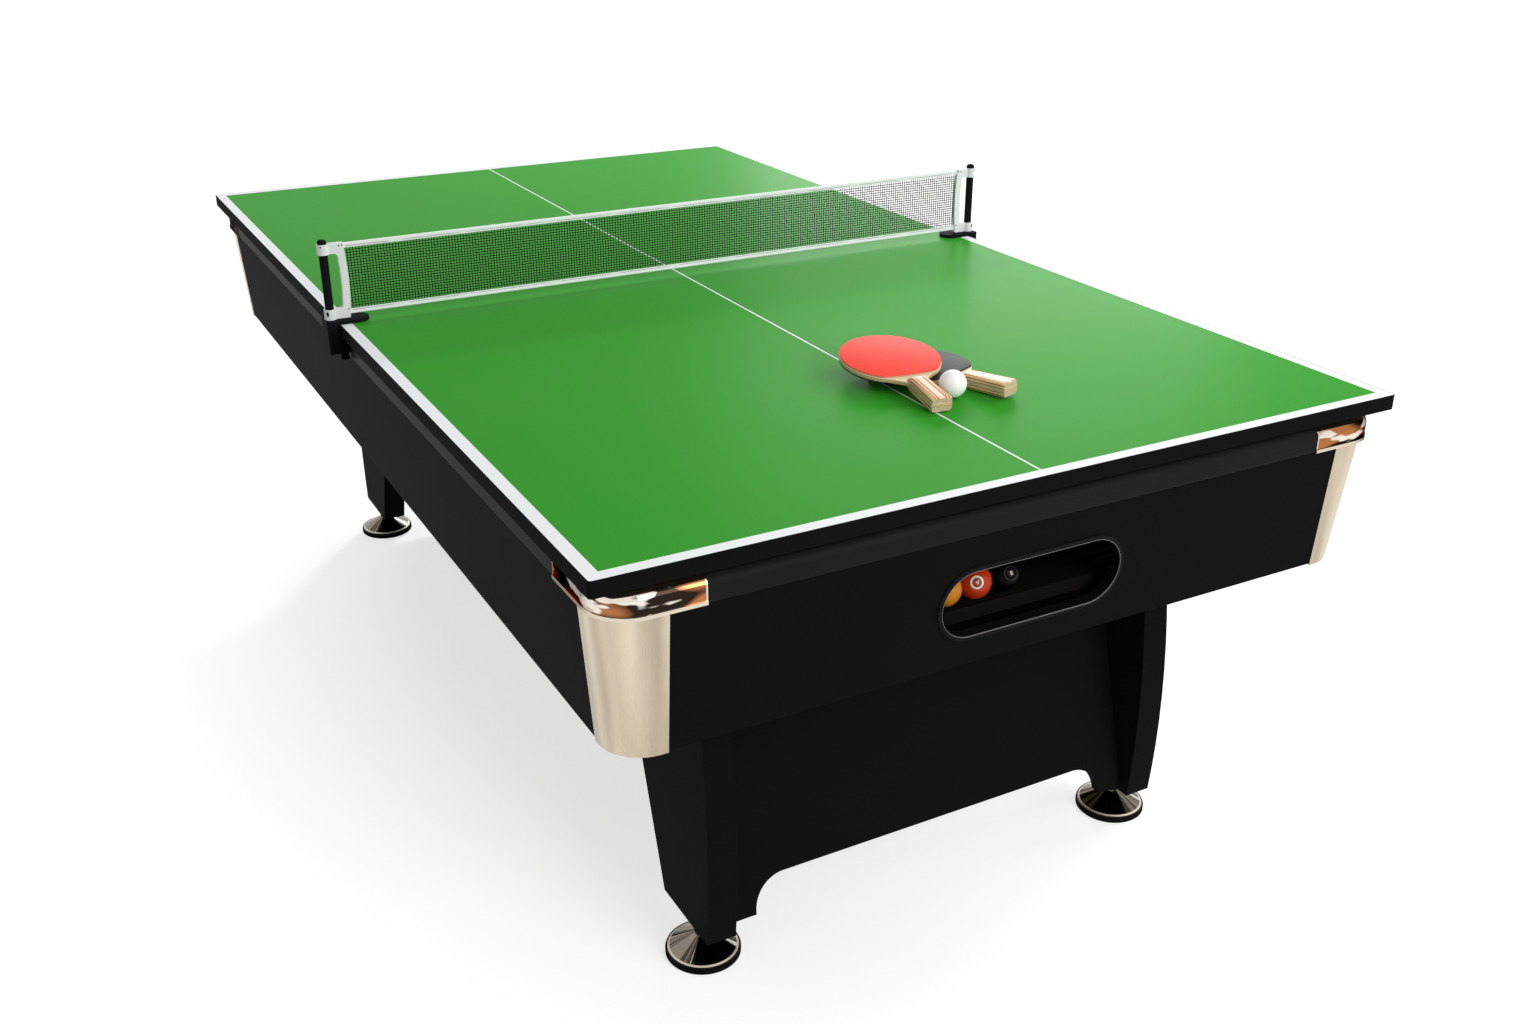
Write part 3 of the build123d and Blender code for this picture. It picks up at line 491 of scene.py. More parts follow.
def casting_with_painted_reflections():
    """Polished metal with painted reflections in streaks, and a painted highlight on its lip,
    ends and upper face.
    """
    finish, place = new_finish("casting_with_painted_reflections", metallic=1.0,
                               Specular_Tint=(0.08, 0.08, 0.08, 1.0))
    drawn = vectors("MULTIPLY", moved_place(place, streak_shift), streak_stretch)
    reflection_streaks = noise(drawn, streak_scale, 2.0)
    copper_reflection_share = fade(noise(drawn, tint_scale, 1.0), 0.44, 0.49)
    # Painted reflections: dark, copper and pale streaks.
    body = blend(fade(reflection_streaks, 0.54, 0.60), blend(copper_reflection_share, dark_reflection, copper_reflection), pale_reflection)
    split = axes(place)
    # Painted highlight on the lip, the arm ends and the upper face.
    inside = above(split[2], casting_low.z + lip_highlight_height)
    for axis, arm_end in enumerate(arm_ends):
        inside = product(inside, above(size_of(split[axis]), arm_end + arm_end_highlight))
    facing = node("ShaderNodeNewGeometry", tree=place.id_data).outputs["Normal"]
    on_top = above(axes(facing)[2], 0.8, 0.2)
    inside = product(inside, rest_of(on_top))
    return complete(finish, blend(inside, casting_edge_highlight, body),
                    spread(on_top, spread(reflection_streaks, 0.05, 0.12), 0.22))


casting_reflections = casting_with_painted_reflections()
print("casting arms end at:", [round(v, 3) for v in arm_ends])

# %% [markdown]
# The foot covers were spun on a lathe. The tool leaves rings round the axis, and a ring is
# where the distance from the axis is the same, so the pattern reads that distance. Dark and
# light wedges in the colour are painted reflections, and they read the direction from the
# axis instead. A painted glint runs along some wedges, and a painted highlight rings the rim,
# with a black edge outside it. Each foot has its own axis, which a Mapping node moves to the
# middle.

# %% Spun metal for a foot
# The rim carries a painted highlight, with a black edge outside it.
rim_radius, rim_highlight_width, black_rim = 0.0548, 0.0050, 0.0020


def spun_finish(name, centre):
    """Polished metal with rings round a vertical axis, painted reflections in wedges, a painted
    glint, a painted highlight at the rim and a black edge.
    """
    finish, place = new_finish(name, metallic=1.0)
    split = axes(moved_place(place, (-centre[0], -centre[1], 0)))
    flat = xyz(split[0], split[1])
    radius = vectors("LENGTH", flat)
    grain = grain_at(xyz(radius, split[2]), (1.0, 0.3, 1.0), 1600.0)
    tone = grain["Tone"]
    # The dark and light wedges are painted reflections.
    reflection_wedges = noise(vectors("NORMALIZE", flat), 2.4, 2.0)
    dark = blend(tone, (0.030, 0.023, 0.017), (0.075, 0.060, 0.046))
    bright = blend(tone, (0.20, 0.165, 0.13), (0.30, 0.26, 0.21))
    # A painted glint, and a painted highlight at the rim.
    painted_glint = product(fade(reflection_wedges, 0.455, 0.463), rest_of(fade(reflection_wedges, 0.468, 0.476)))
    rim_highlight = above(radius, rim_radius - rim_highlight_width)
    body = blend(fade(reflection_wedges, 0.50, 0.56), dark, bright)
    for mask, colour in ((painted_glint, (0.72, 0.68, 0.62)), (rim_highlight, (0.74, 0.66, 0.55)),
                         (above(radius, rim_radius - black_rim), grey(0.010))):
        body = blend(mask, body, colour)
    return complete(finish, body, spread(rim_highlight, spread(tone, 0.06, 0.14), 0.55),
                    grain["Height"], 0.000004)


# %% [markdown]
# ## The table tennis top
# The boards are painted green, with a white border, a fine white centre line, and a black
# band of plastic round the edge. The lines are paint, so they are masks in one finish:
# each compares the place on the board with a level. The seam between the halves hides
# under the centre line.

# %% Green board with its lines
top_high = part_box("edge_bands")[1].copy()
edge_band = 0.0012
half_board = Vector((top_high.x - edge_band, top_high.y - edge_band))
border_width, centre_line_width = 0.0183, 0.0030
paint_edge, paint_reach, paint_relief = 0.0005, 0.0008, 0.6
white_paint = (0.79, 0.81, 0.82)


def painted_board():
    """Green satin paint with white lines, and bare dark board below."""
    finish, place = new_finish("green_top_paint", Specular_IOR_Level=0.016)
    spots = speckles(place, 520.0, 1.6)
    tone = spots["Tone"]
    x, y, z = axes(place)
    across, along = size_of(x), size_of(y)
    border = larger(above(across, half_board.x - border_width, paint_edge),
                    above(along, half_board.y - border_width, paint_edge))
    centre = rest_of(above(across, centre_line_width / 2, paint_edge))
    lines = larger(border, centre)
    green = blend(tone, (0.026, 0.262, 0.015), (0.037, 0.300, 0.024))
    bare = blend(tone, (0.03, 0.028, 0.025), (0.05, 0.045, 0.04))
    on_top = above(z, top_high.z - paint_reach, paint_edge)
    return complete(finish, blend(on_top, bare, blend(lines, green, white_paint)),
                    spread(tone, 0.30, 0.42),
                    plus(spots["Height"], product(lines, paint_relief)), 0.00002)


green_top = painted_board()
print("board:", round(2 * half_board.x, 4), "by", round(2 * half_board.y, 4), "m")

# %% [markdown]
# ## Rails and ball return
# The rails are wrapped in satin vinyl. A fine pale line where it turns under at the foot is a
# painted highlight, and a level in Z places that line.

# %% Rails in satin vinyl
foot_highlight_height = 0.0011


def rail_paint(place, tone):
    """Satin black, with a painted highlight: a fine pale line where the rail ends over the
    apron.
    """
    # The pale foot line is a painted highlight.
    above_foot_highlight = above(axes(place)[2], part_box("rail_front")[0].z + foot_highlight_height)
    return blend(above_foot_highlight, (0.055, 0.052, 0.048), blend(tone, grey(0.010), grey(0.017)))


rail_vinyl = speckled_finish("rail_vinyl", rail_paint, (0.38, 0.50), 2400, 5, 0.00001, 0.02)

# %% [markdown]
# The moulded frame of the ball return has a painted highlight where its flange turns into
# the hole: a pale line in its colour. That edge follows the slot, a straight with two round
# ends, so the finish works out how far a place is from the slot's outline, and how deep it
# lies behind the leaning front.

# %% The ball return's frame
bezel_low, bezel_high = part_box("ball_return_bezel")
slot_middle = (bezel_low + bezel_high) / 2
slot_half_straight, slot_hole_radius, apron_lean = 0.096, 0.0485, 0.0725
highlight_depth, highlight_width = 0.0014, 0.0004


def bezel_paint(place, tone):
    """Black, with a painted highlight: a pale line along the edge of the hole."""
    x, y, z = axes(place)
    past = larger(0.0, minus(size_of(minus(x, slot_middle.x)), slot_half_straight))
    upright = minus(z, slot_middle.z)
    radius = maths("SQRT", plus(product(past, past), product(upright, upright)))
    lean = product(minus(bezel_high.z, z), apron_lean)
    depth = minus(minus(y, bezel_low.y), lean)
    # The pale bead is a painted highlight.
    bead = product(rest_of(above(depth, highlight_depth)),
                   rest_of(above(minus(radius, slot_hole_radius), highlight_width)))
    return blend(bead, blend(tone, grey(0.0035), grey(0.006)), grey(0.26))


bezel_plastic = speckled_finish("bezel_plastic", bezel_paint, (0.30, 0.45), 1600, 9, 0.000015,
                                0.04)
print("slot middle:", [round(v, 3) for v in slot_middle])

# %% [markdown]
# ## Cloth and bare board
# The tapes, the pool cloth, the net's cord and the sewing thread are woven, with more or
# less fuzz. The hidden boards are bare wood.

# %% Cloths and boards
def cloth_finish(name, low, high, threads, rough, depth, fuzz=0.15, gloss=0.2):
    """A woven finish; the place is the object's own, so the weave doesn't slide."""
    finish, place = new_finish(name, Sheen_Weight=fuzz, Specular_IOR_Level=gloss)
    weave = use_group(woven, {"Place": place, "Threads per metre": threads})
    tone = weighed(weave["Thread"], 0.5, weave["Fuzz"])
    return complete(finish, blend(tone, low, high), spread(weave["Fuzz"], *rough),
                    weave["Height"], depth)


def board_finish(name, low, high, stretch, rings):
    """Bare wood."""
    finish, place = new_finish(name)
    wood = use_group(figure, {"Place": place, "Stretch": stretch, "Rings per metre": rings})
    return complete(finish, blend(wood["Tone"], low, high), spread(wood["Tone"], 0.6, 0.75),
                    wood["Height"], 0.00004)


pool_cloth = cloth_finish("pool_cloth", (0.012, 0.105, 0.055), (0.022, 0.17, 0.09), 1100.0,
                          (0.85, 0.95), 0.00008)
tape_cloth = cloth_finish("white_tape", (0.78, 0.79, 0.80), (0.90, 0.91, 0.92), 1500.0,
                          (0.6, 0.75), 0.00005)
net_cord = cloth_finish("net_cord", (0.004, 0.005, 0.004), (0.009, 0.009, 0.008), 2600.0,
                        (0.7, 0.85), 0.00004, 0.0, 0.01)
seam_thread = cloth_finish("seam_thread", (0.20, 0.20, 0.21), (0.30, 0.30, 0.32), 2600.0,
                           (0.6, 0.7), 0.00002, 0.05)
raw_board = board_finish("raw_board", (0.36, 0.27, 0.17), (0.48, 0.38, 0.26), (1.0, 0.3, 1.0),
                         25.0)

# %% [markdown]
# ## Give the CAD parts their finishes
# The record names a finish slot for every part. One table says which of our materials each
# slot gets, and a second one holds the parts that differ from their slot. A CAD part is
# never moved or reshaped here: it only changes its material.

# %% Slots to materials
black_paint, laminate = mottled["satin_black_paint"], mottled["matt_black_laminate"]
finish_of_slot = {
    "top_green": green_top, "black_plastic": mottled["black_plastic"],
    "rubber": mottled["pad_rubber"], "black_metal": black_paint, "steel": plain_steel,
    "white_plastic": mottled["white_plastic"], "net_black": net_cord, "net_tape": tape_cloth,
    "board": raw_board, "cloth": pool_cloth, "cushion": pool_cloth, "black_board": laminate,
    "apron_laminate": laminate, "champagne": champagne, "polished": casting_reflections,
    "ledge_beige": mottled["ledge_in_painted_shade"], "ball_celluloid": mottled["ball_shell"],
    "ball_orange": mottled["orange_ball"], "ball_yellow": mottled["yellow_ball"],
    "ball_black": mottled["black_ball"],
}
finish_of_part = {"ball_return_bezel": bezel_plastic}
# The parts seen through the ball return get painted shade: a near-black finish.
for name in ("runner_rods", "cross_beams", "ball_tray", "mount_boards"):
    finish_of_part[name] = mottled["interior_painted_shade"]
for side in ("front", "rear", "left", "right"):
    finish_of_part[f"rail_{side}"] = rail_vinyl
for corner in ("front_left", "front_right", "rear_left", "rear_right"):
    low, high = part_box(f"foot_metal_{corner}")
    finish_of_part[f"foot_metal_{corner}"] = spun_finish(f"spun_{corner}", (low + high) / 2)

slot_of_node = {part["node"]: part["material_slot"] for part in frame["record"]["subparts"]}
dressed = 0
for name in nodes:
    material = finish_of_part.get(name) or finish_of_slot.get(slot_of_node[name])
    if material:
        nodes[name].data.materials.clear()
        nodes[name].data.materials.append(material)
        dressed += 1
print("dressed:", dressed, "of", len(nodes), "parts")

# %% [markdown]
# ## Making new pieces
# A new piece is a plain mesh whose points are already at their place on the table, in
# metres. Its object stays at the origin, as a CAD part's does, so that a pattern on Object
# coordinates lies still. Each piece rides on the body that carries it.

# %% Helpers for new pieces
all_smooth = math.radians(180)


def clean_mesh(name, points, faces):
    """A mesh with its points joined where they meet and its normals outwards."""
    mesh = bpy.data.meshes.new(name)
    mesh.from_pydata([tuple(p) for p in points], [], faces)
    mesh.validate()
    work = bmesh.new()
    work.from_mesh(mesh)
    bmesh.ops.remove_doubles(work, verts=work.verts, dist=0.000001)
    bmesh.ops.recalc_face_normals(work, faces=work.faces)
    work.to_mesh(mesh)
    work.free()
    return mesh


def place_piece(name, mesh, material, body, slot, stands_for=(), smooth=math.radians(35)):
    """Give a finished mesh its object, finish and body. The slot is not used."""
    mesh.name = name
    if material is not None:
        mesh.materials.clear()
        mesh.materials.append(material)
    mesh.shade_smooth()
    mesh.set_sharp_from_angle(angle=smooth)
    piece = new_object(name, mesh)
    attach(piece, body)
    if stands_for:
        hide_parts(*stands_for)
    print(name, "faces:", len(mesh.polygons))
    return piece


def new_piece(name, points, faces, *how):
    """A piece straight from its points and faces."""
    return place_piece(name, clean_mesh(name, points, faces), *how)


def baked_mesh(carrier):
    """The plain mesh that an object makes, without the object."""
    depsgraph = bpy.context.evaluated_depsgraph_get()
    mesh = bpy.data.meshes.new_from_object(carrier.evaluated_get(depsgraph))
    bpy.data.objects.remove(carrier)
    return mesh


def loft(rings, capped=True):
    """Points and faces of a skin over rings of equally many points."""
    count, last = len(rings[0]), (len(rings) - 1) * len(rings[0])
    points = [p for ring in rings for p in ring]
    faces = [(k + i, k + (i + 1) % count, k + count + (i + 1) % count, k + count + i)
             for k in range(0, last, count) for i in range(count)]
    if capped:
        faces += [tuple(reversed(range(count))), tuple(last + i for i in range(count))]
    return points, faces


def joined(parts):
    """Several skins as one list of points and one of faces."""
    points, faces = [], []
    for some_points, some_faces in parts:
        shift = len(points)
        points += some_points
        faces += [tuple(i + shift for i in face) for face in some_faces]
    return points, faces


# %% [markdown]
# ## The net
# A table tennis net is a fine square mesh, here 239 cells long and 24 high. Drawing it
# strand by strand would be dull, and this is what Geometry Nodes are for: one strand is
# drawn and waved in and out, copied along a row of points, and every second copy is turned
# over, so that the strands pass over and under each other. A long strand and an upright
# strand follow the same rule with other numbers.

# %% Helpers for geometry trees
def geometry_tree(name, inputs):
    """A Geometry Nodes tree: returns it, its given values and its end."""
    return group_tree("Geometry", name, {"Geometry": "shape", **inputs}, {"Geometry": "shape"})


def copies_on(points, instance, scale):
    """A copy of a shape on every point."""
    return node("GeometryNodeInstanceOnPoints", {"Points": points, "Instance": instance,
                                                 "Scale": scale}).outputs[0]


def row_of_points(count, start, end):
    """Points at even steps between two ends."""
    return node("GeometryNodeMeshLine", {"Count": count, "Start Location": start,
                                         "Offset": end}, mode="END_POINTS").outputs[0]


def close_tree(geometry, material, out):
    """Realise the copies and set the material, because an export keeps no instances."""
    solid = node("GeometryNodeRealizeInstances", {"Geometry": geometry}).outputs[0]
    give(out, Geometry=node("GeometryNodeSetMaterial", {
        "Geometry": solid, "Material": material}).outputs[0])


def grown_piece(name, tree, values, slot, stands_for=(), points=()):
    """Run a geometry tree on some points, and keep the plain mesh that it makes."""
    seed = bpy.data.meshes.new(name + "_seed")
    seed.from_pydata([tuple(p) for p in points], [], [])
    carrier = new_object(name + "_seed", seed)
    modifier = carrier.modifiers.new("grow", "NODES")
    modifier.node_group = tree
    for item in tree.interface.items_tree:
        if item.in_out == "INPUT" and item.name in values:
            modifier[item.identifier] = values[item.name]
    return place_piece(name, baked_mesh(carrier), None, "tennis_top", slot, stands_for,
                       all_smooth)


# %% The net's rule
def strand_rows(strand, cells, row, copies, depth):
    """Waved strands of two points per cell, copied in a row, every second one turned over."""
    tree = cells.id_data
    line = node("GeometryNodeCurvePrimitiveLine", {"Start": strand[0], "End": strand[1]})
    fine = node("GeometryNodeResampleCurve", {"Curve": line.outputs[0],
                                              "Count": plus(product(cells, 2.0), 1.0)})
    along, which = (node("GeometryNodeInputIndex", tree=tree).outputs[0] for _ in range(2))
    wave = maths("SINE", product(along, math.pi / 2))
    waved = node("GeometryNodeSetPosition", {"Geometry": fine.outputs[0],
                                             "Offset": xyz(0.0, product(wave, *depth))})
    flip = rest_of(product(maths("MODULO", which, 2.0), 2.0))
    return copies_on(row_of_points(copies, *row), waved.outputs[0], xyz(1.0, flip, 1.0))


net_rule, given, out = geometry_tree("woven_net", {
    "Half width": 0.6, "Low": 0.79, "High": 0.89, "Columns": 240, "Rows": 23,
    "Strand radius": 0.0009, "Weave depth": 0.0004, "Cord": None})
low, high, half = given["Low"], given["High"], given["Half width"]
columns, rows = given["Columns"], given["Rows"]
negative = product(half, -1.0)
half_row = ratio(minus(high, low), product(rows, 2.0))
half_column = ratio(half, columns)
row_ends = xyz(0.0, 0.0, plus(low, half_row)), xyz(0.0, 0.0, minus(high, half_row))
column_ends = xyz(plus(negative, half_column)), xyz(minus(half, half_column))
strands = net_rule.nodes.new("GeometryNodeJoinGeometry")
for source in (
        strand_rows((xyz(negative), xyz(half)), columns, row_ends, rows,
                    (given["Weave depth"], 1.0)),
        strand_rows((xyz(0.0, 0.0, low), xyz(0.0, 0.0, high)), rows, column_ends, columns,
                    (given["Weave depth"], -1.0))):
    net_rule.links.new(source, strands.inputs[0])
real = node("GeometryNodeRealizeInstances", {"Geometry": strands.outputs[0]})
section = node("GeometryNodeCurvePrimitiveCircle", {"Resolution": 4,
                                                    "Radius": given["Strand radius"]})
tubes = node("GeometryNodeCurveToMesh", {
    "Curve": real.outputs[0], "Profile Curve": section.outputs[0], "Fill Caps": True})
close_tree(tubes.outputs[0], given["Cord"], out)

# %% Grow the net
net_low, net_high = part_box("net_mesh")
hem = 0.0025
net = grown_piece("woven_net", net_rule, {
    "Half width": net_high.x, "Low": net_low.z - hem, "High": net_high.z + hem,
    "Columns": 239, "Rows": 24, "Strand radius": 0.00068, "Weave depth": 0.00018,
    "Cord": net_cord}, "net_black", ["net_mesh"])

# %% [markdown]
# ## The net's tapes
# Each tape is a strip of white cloth folded over the edge of the net and sewn through. We
# draw the fold's section, outside and inside, and sweep it along the net. A slow wave of a
# fraction of a millimetre keeps it from looking like a metal rail, and a sewn groove runs
# along it.

# %% Folded tapes
cloth_thick, tape_inset, tape_fill, tape_stations = 0.0006, 0.0001, 0.94, 240
groove = [(0.80, 0.0), (0.95, 0.18), (0.72, 0.30), (0.95, 0.42), (1.0, 0.80)]


def tape_section(low, high, half_thick, fold_up):
    """The fold as (y, z) points: out, over the fold, and back inside."""
    outer = [(-half_thick * share, t) for share, t in groove]
    arc = [(-half_thick * math.cos(math.radians(a)), 0.80 + 0.20 * math.sin(math.radians(a)))
           for a in range(30, 180, 30)]
    outer += arc + [(-y, t) for y, t in reversed(outer)]
    tall = high - low
    inner = [(y * (1 - cloth_thick / half_thick), t * (1 - cloth_thick / tall))
             for y, t in reversed(outer)]
    return [(y, (low + t * tall) if fold_up else (high - t * tall)) for y, t in outer + inner]


def folded_tape(name, node_name, fold_up):
    """Sweep the fold along a tape's place; returns it with its flat size."""
    low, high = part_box(node_name)
    section = tape_section(low.z + tape_inset, high.z - tape_inset,
                           (high.y - low.y) / 2 * tape_fill, fold_up)
    rings = []
    for share in (k / tape_stations for k in range(tape_stations + 1)):
        x = low.x + share * (high.x - low.x)
        sway = 0.00012 * math.sin(share * 61.0) + 0.00010 * math.sin(share * 137.0 + 1.0)
        puff = 1.0 + 0.05 * math.sin(share * 420.0)
        rings.append([Vector((x, y * puff + sway, z)) for y, z in section])
    tape = new_piece(name, *loft(rings), tape_cloth, "tennis_top", "net_tape", [node_name])
    girth = sum((rings[0][i] - rings[0][i - 1]).length for i in range(len(section)))
    return tape, (girth / 2, high.x - low.x)


top_tape, top_flat = folded_tape("folded_top_tape", "net_top_tape", True)
bottom_tape, bottom_flat = folded_tape("folded_bottom_tape", "net_bottom_tape", False)
print("tape flat:", [round(v, 4) for v in top_flat])

# %% [markdown]
# The seam is a row of stitches, so Geometry Nodes again: a line of points at the pitch of
# the stitches, and on each a small bead that is drawn out along the seam.

# %% Stitches
seam_rule, given, out = geometry_tree("sewn_seam", {
    "Start": nowhere, "End": (1.0, 0.0, 0.0), "Stitches": 300,
    "Stitch size": (0.0012, 0.0003, 0.0003), "Thread": None})
bead = node("GeometryNodeMeshUVSphere", {"Segments": 6, "Rings": 4, "Radius": 1.0}, seam_rule)
sewn = copies_on(row_of_points(given["Stitches"], given["Start"], given["End"]),
                 bead.outputs[0], given["Stitch size"])
close_tree(sewn, given["Thread"], out)
stitch_count, stitch_size = 330, (0.00230, 0.00024, 0.00055)
seam_margin, groove_share = 0.006, 0.76

for label, tape, flat, share in (("top", top_tape, top_flat, 0.30),
                                 ("bottom", bottom_tape, bottom_flat, 0.70)):
    low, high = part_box(f"net_{label}_tape")
    level = low.z + share * (high.z - low.z)
    half_thick = (high.y - low.y) / 2 * tape_fill * groove_share
    seams = [grown_piece(f"{label}_seam_{side}", seam_rule, {
        "Start": (low.x + seam_margin, sign * half_thick, level),
        "End": (high.x - seam_margin, sign * half_thick, level),
        "Stitches": stitch_count, "Stitch size": stitch_size, "Thread": seam_thread},
        "net_tape") for side, sign in (("front", -1), ("rear", 1))]

# %% [markdown]
# ## Rivets and windows of the net brackets
# Dark rivets hold the net to its white brackets, and each bracket has a small dark window at
# its foot, through which the post shows. Each sits where a ray from the front or the rear
# meets the bracket, which a BVH tree of the CAD part tells us. Geometry Nodes then put a low
# dome on every such point.

# %% Find the places
work = bmesh.new()
work.from_mesh(nodes["net_brackets"].data)
bracket_surface = BVHTree.FromBMesh(work)
work.free()
ray_start, ray_length = 0.03, 0.05


def bracket_points(places):
    """Where rays from the front and the rear meet both brackets."""
    hits = [bracket_surface.ray_cast(Vector((side * x, facing * ray_start, z)),
                                     Vector((0, -facing, 0)), ray_length)[0]
            for side in (-1, 1) for x, z in places for facing in (-1, 1)]
    return [hit for hit in hits if hit is not None]


rivet_places = bracket_points([(0.6035, 0.8968), (0.6085, 0.8962), (0.6385, 0.8975),
                               (0.6035, 0.7905)])
window_places = bracket_points([(0.6392, 0.7868)])
print("rivets:", len(rivet_places), "windows:", len(window_places))

# %% Set the domes
rivet_rule, given, out = geometry_tree("rivets", {"Rivet size": (0.001, 0.001, 0.001),
                                                  "Metal": None})
dome = node("GeometryNodeMeshUVSphere", {"Segments": 12, "Rings": 8, "Radius": 1.0}, rivet_rule)
close_tree(copies_on(given["Geometry"], dome.outputs[0], given["Rivet size"]), given["Metal"],
           out)
for name, places, size in (("bracket_rivets", rivet_places, (0.0012, 0.0007, 0.0012)),
                           ("bracket_windows", window_places, (0.0022, 0.0011, 0.0042))):
    grown_piece(name, rivet_rule, {"Rivet size": size, "Metal": black_paint}, "black_metal",
                (), places)

# %% [markdown]
# ## The bats
# A bat is a blade of five plies, a rubber on each face, and a handle of two scales. We
# model it lying flat with the middle of its blade at zero, because a bat's shape is easy to
# describe there, and then lay it on the table with one matrix. The plies, the layers of a
# rubber and the stripes of a handle follow the bat, so the flat shape's coordinates are kept
# in an attribute that the finishes read.

# %% Bat sizes and how each bat lies
blade_half_length, blade_half_width, blade_half_thick = 0.078, 0.075, 0.003
shoulder_half, throat_half, butt_half = 0.044, 0.0135, 0.017
rubber_thick, sponge_thick, rubber_margin = 0.0024, 0.0014, 0.0008
handle_half_thick, handle_end = 0.011, -0.162
shoulder_y = -blade_half_length * math.sqrt(1 - (shoulder_half / blade_half_width) ** 2)
grip_start = shoulder_y - 0.016
neck_end = -blade_half_length - 0.016
bat_clearance, bat_stack, lean_reach = 0.0003, 0.0111, 0.09883 * 1.08
bat_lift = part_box("tennis_top_left")[1].z + bat_clearance + handle_half_thick


def laid(x, y, turn, lean, pivot):
    """The matrix that lays a bat on the table, leaning on one edge of its handle."""
    hinge = (Matrix.Translation((0, pivot, -handle_half_thick)) @ Matrix.Rotation(lean, 4, "X")
             @ Matrix.Translation((0, -pivot, handle_half_thick)))
    return Matrix.Translation((x, y, bat_lift)) @ Matrix.Rotation(turn, 4, "Z") @ hinge


lying = {
    "red": laid(0.024, -0.659, math.radians(-6), math.atan2(bat_stack, lean_reach), handle_end),
    "black": laid(0.074, -0.666, math.radians(19), -math.radians(2.04), grip_start),
}


def bat_piece(name, bat, parts, material, slot, stands_for):
    """A piece of a bat: its flat coordinates are kept, and then it is laid on the table."""
    mesh = clean_mesh(name, *joined(parts))
    flat = mesh.attributes.new("flat_place", "FLOAT_VECTOR", "POINT")
    flat.data.foreach_set("vector", [c for v in mesh.vertices for c in v.co])
    mesh.transform(lying[bat])
    return place_piece(name, mesh, material, f"bat_{bat}", slot, stands_for, math.radians(40))


# %% The blade's outline
neck_hollow, butt_ease = 1.7, 0.0008


def oval(inset, steps=72):
    """The oval of a blade above its shoulders, from the right shoulder round to the left."""
    half_x, half_y = blade_half_width - inset, blade_half_length - inset
    start = math.asin(shoulder_y / blade_half_length)
    angles = [start + (math.pi - 2 * start) * k / steps for k in range(steps + 1)]
    return [(half_x * math.cos(a), half_y * math.sin(a)) for a in angles]


def neck(side, steps=14):
    """The hollow curve from a shoulder to the handle, and on to the butt."""
    points = []
    for t in (k / steps for k in range(1, steps + 1)):
        x = shoulder_half + (throat_half - shoulder_half) * (1 - (1 - t) ** neck_hollow)
        points.append((side * x, shoulder_y + (neck_end - shoulder_y) * t))
    return points + [(side * (throat_half + butt_half) / 2, (neck_end + handle_end) / 2),
                     (side * (butt_half - butt_ease), handle_end + 0.0006),
                     (side * (butt_half - 2 * butt_ease), handle_end)]


def blade_ring(inset, level):
    """One level of the blade, drawn in from its edge."""
    outline = oval(0) + neck(-1) + [(x, y) for x, y in reversed(neck(1))]
    ring = []
    for i, (x, y) in enumerate(outline):
        before, after = Vector(outline[i - 1]), Vector(outline[(i + 1) % len(outline)])
        run = (after - before).normalized()
        ring.append(Vector((x - run.y * inset, y + run.x * inset, level)))
    return ring


edge_round, ply_groove, ply_edge = 0.0007, 0.00012, 0.00008
blade_levels = [(edge_round, -blade_half_thick), (0.0, -blade_half_thick + edge_round)]
for ply in (-0.0016, -0.0007, 0.0007, 0.0016):
    blade_levels += [(0.0, ply - ply_edge), (ply_groove, ply), (0.0, ply + ply_edge)]
blade_levels += [(0.0, blade_half_thick - edge_round), (edge_round, blade_half_thick)]


# %% The rubbers
throat_bow, throat_steps, fine_groove = 0.0035, 12, 0.0001


def rubber_ring(inset, level):
    """One level of a rubber: the oval, cut straight across the throat with a slight bow."""
    points = [Vector((x, y, level)) for x, y in oval(rubber_margin + inset)]
    left, right_end = points[-1], points[0]
    for t in (k / throat_steps for k in range(1, throat_steps)):
        points.append(Vector((left.x + (right_end.x - left.x) * t,
                              left.y + inset - throat_bow * math.sin(math.pi * t), level)))
    return points


def rubber(sign):
    """A sponge with its top sheet: a fine groove parts them, and the upper edge is eased."""
    heights = [(0.0, 0.0), (0.0, sponge_thick - fine_groove), (0.0002, sponge_thick),
               (0.0, sponge_thick + fine_groove), (0.0, rubber_thick - 0.0003),
               (0.00015, rubber_thick - 0.0001), (0.0006, rubber_thick)]
    return loft([rubber_ring(inset, sign * blade_half_thick + sign * height)
                 for inset, height in heights])


# %% The handle
scale_shares = (0.0, 0.02, 0.05, 0.09, 0.13, 0.18, 0.25, 0.35, 0.5, 0.65, 0.8, 0.9, 0.96,
                0.985, 1.0)
risen_share, eased_share, start_share = 0.13, 0.985, 0.05
start_tall, start_narrow, largest_corner = 0.0012, 0.0012, 0.0045


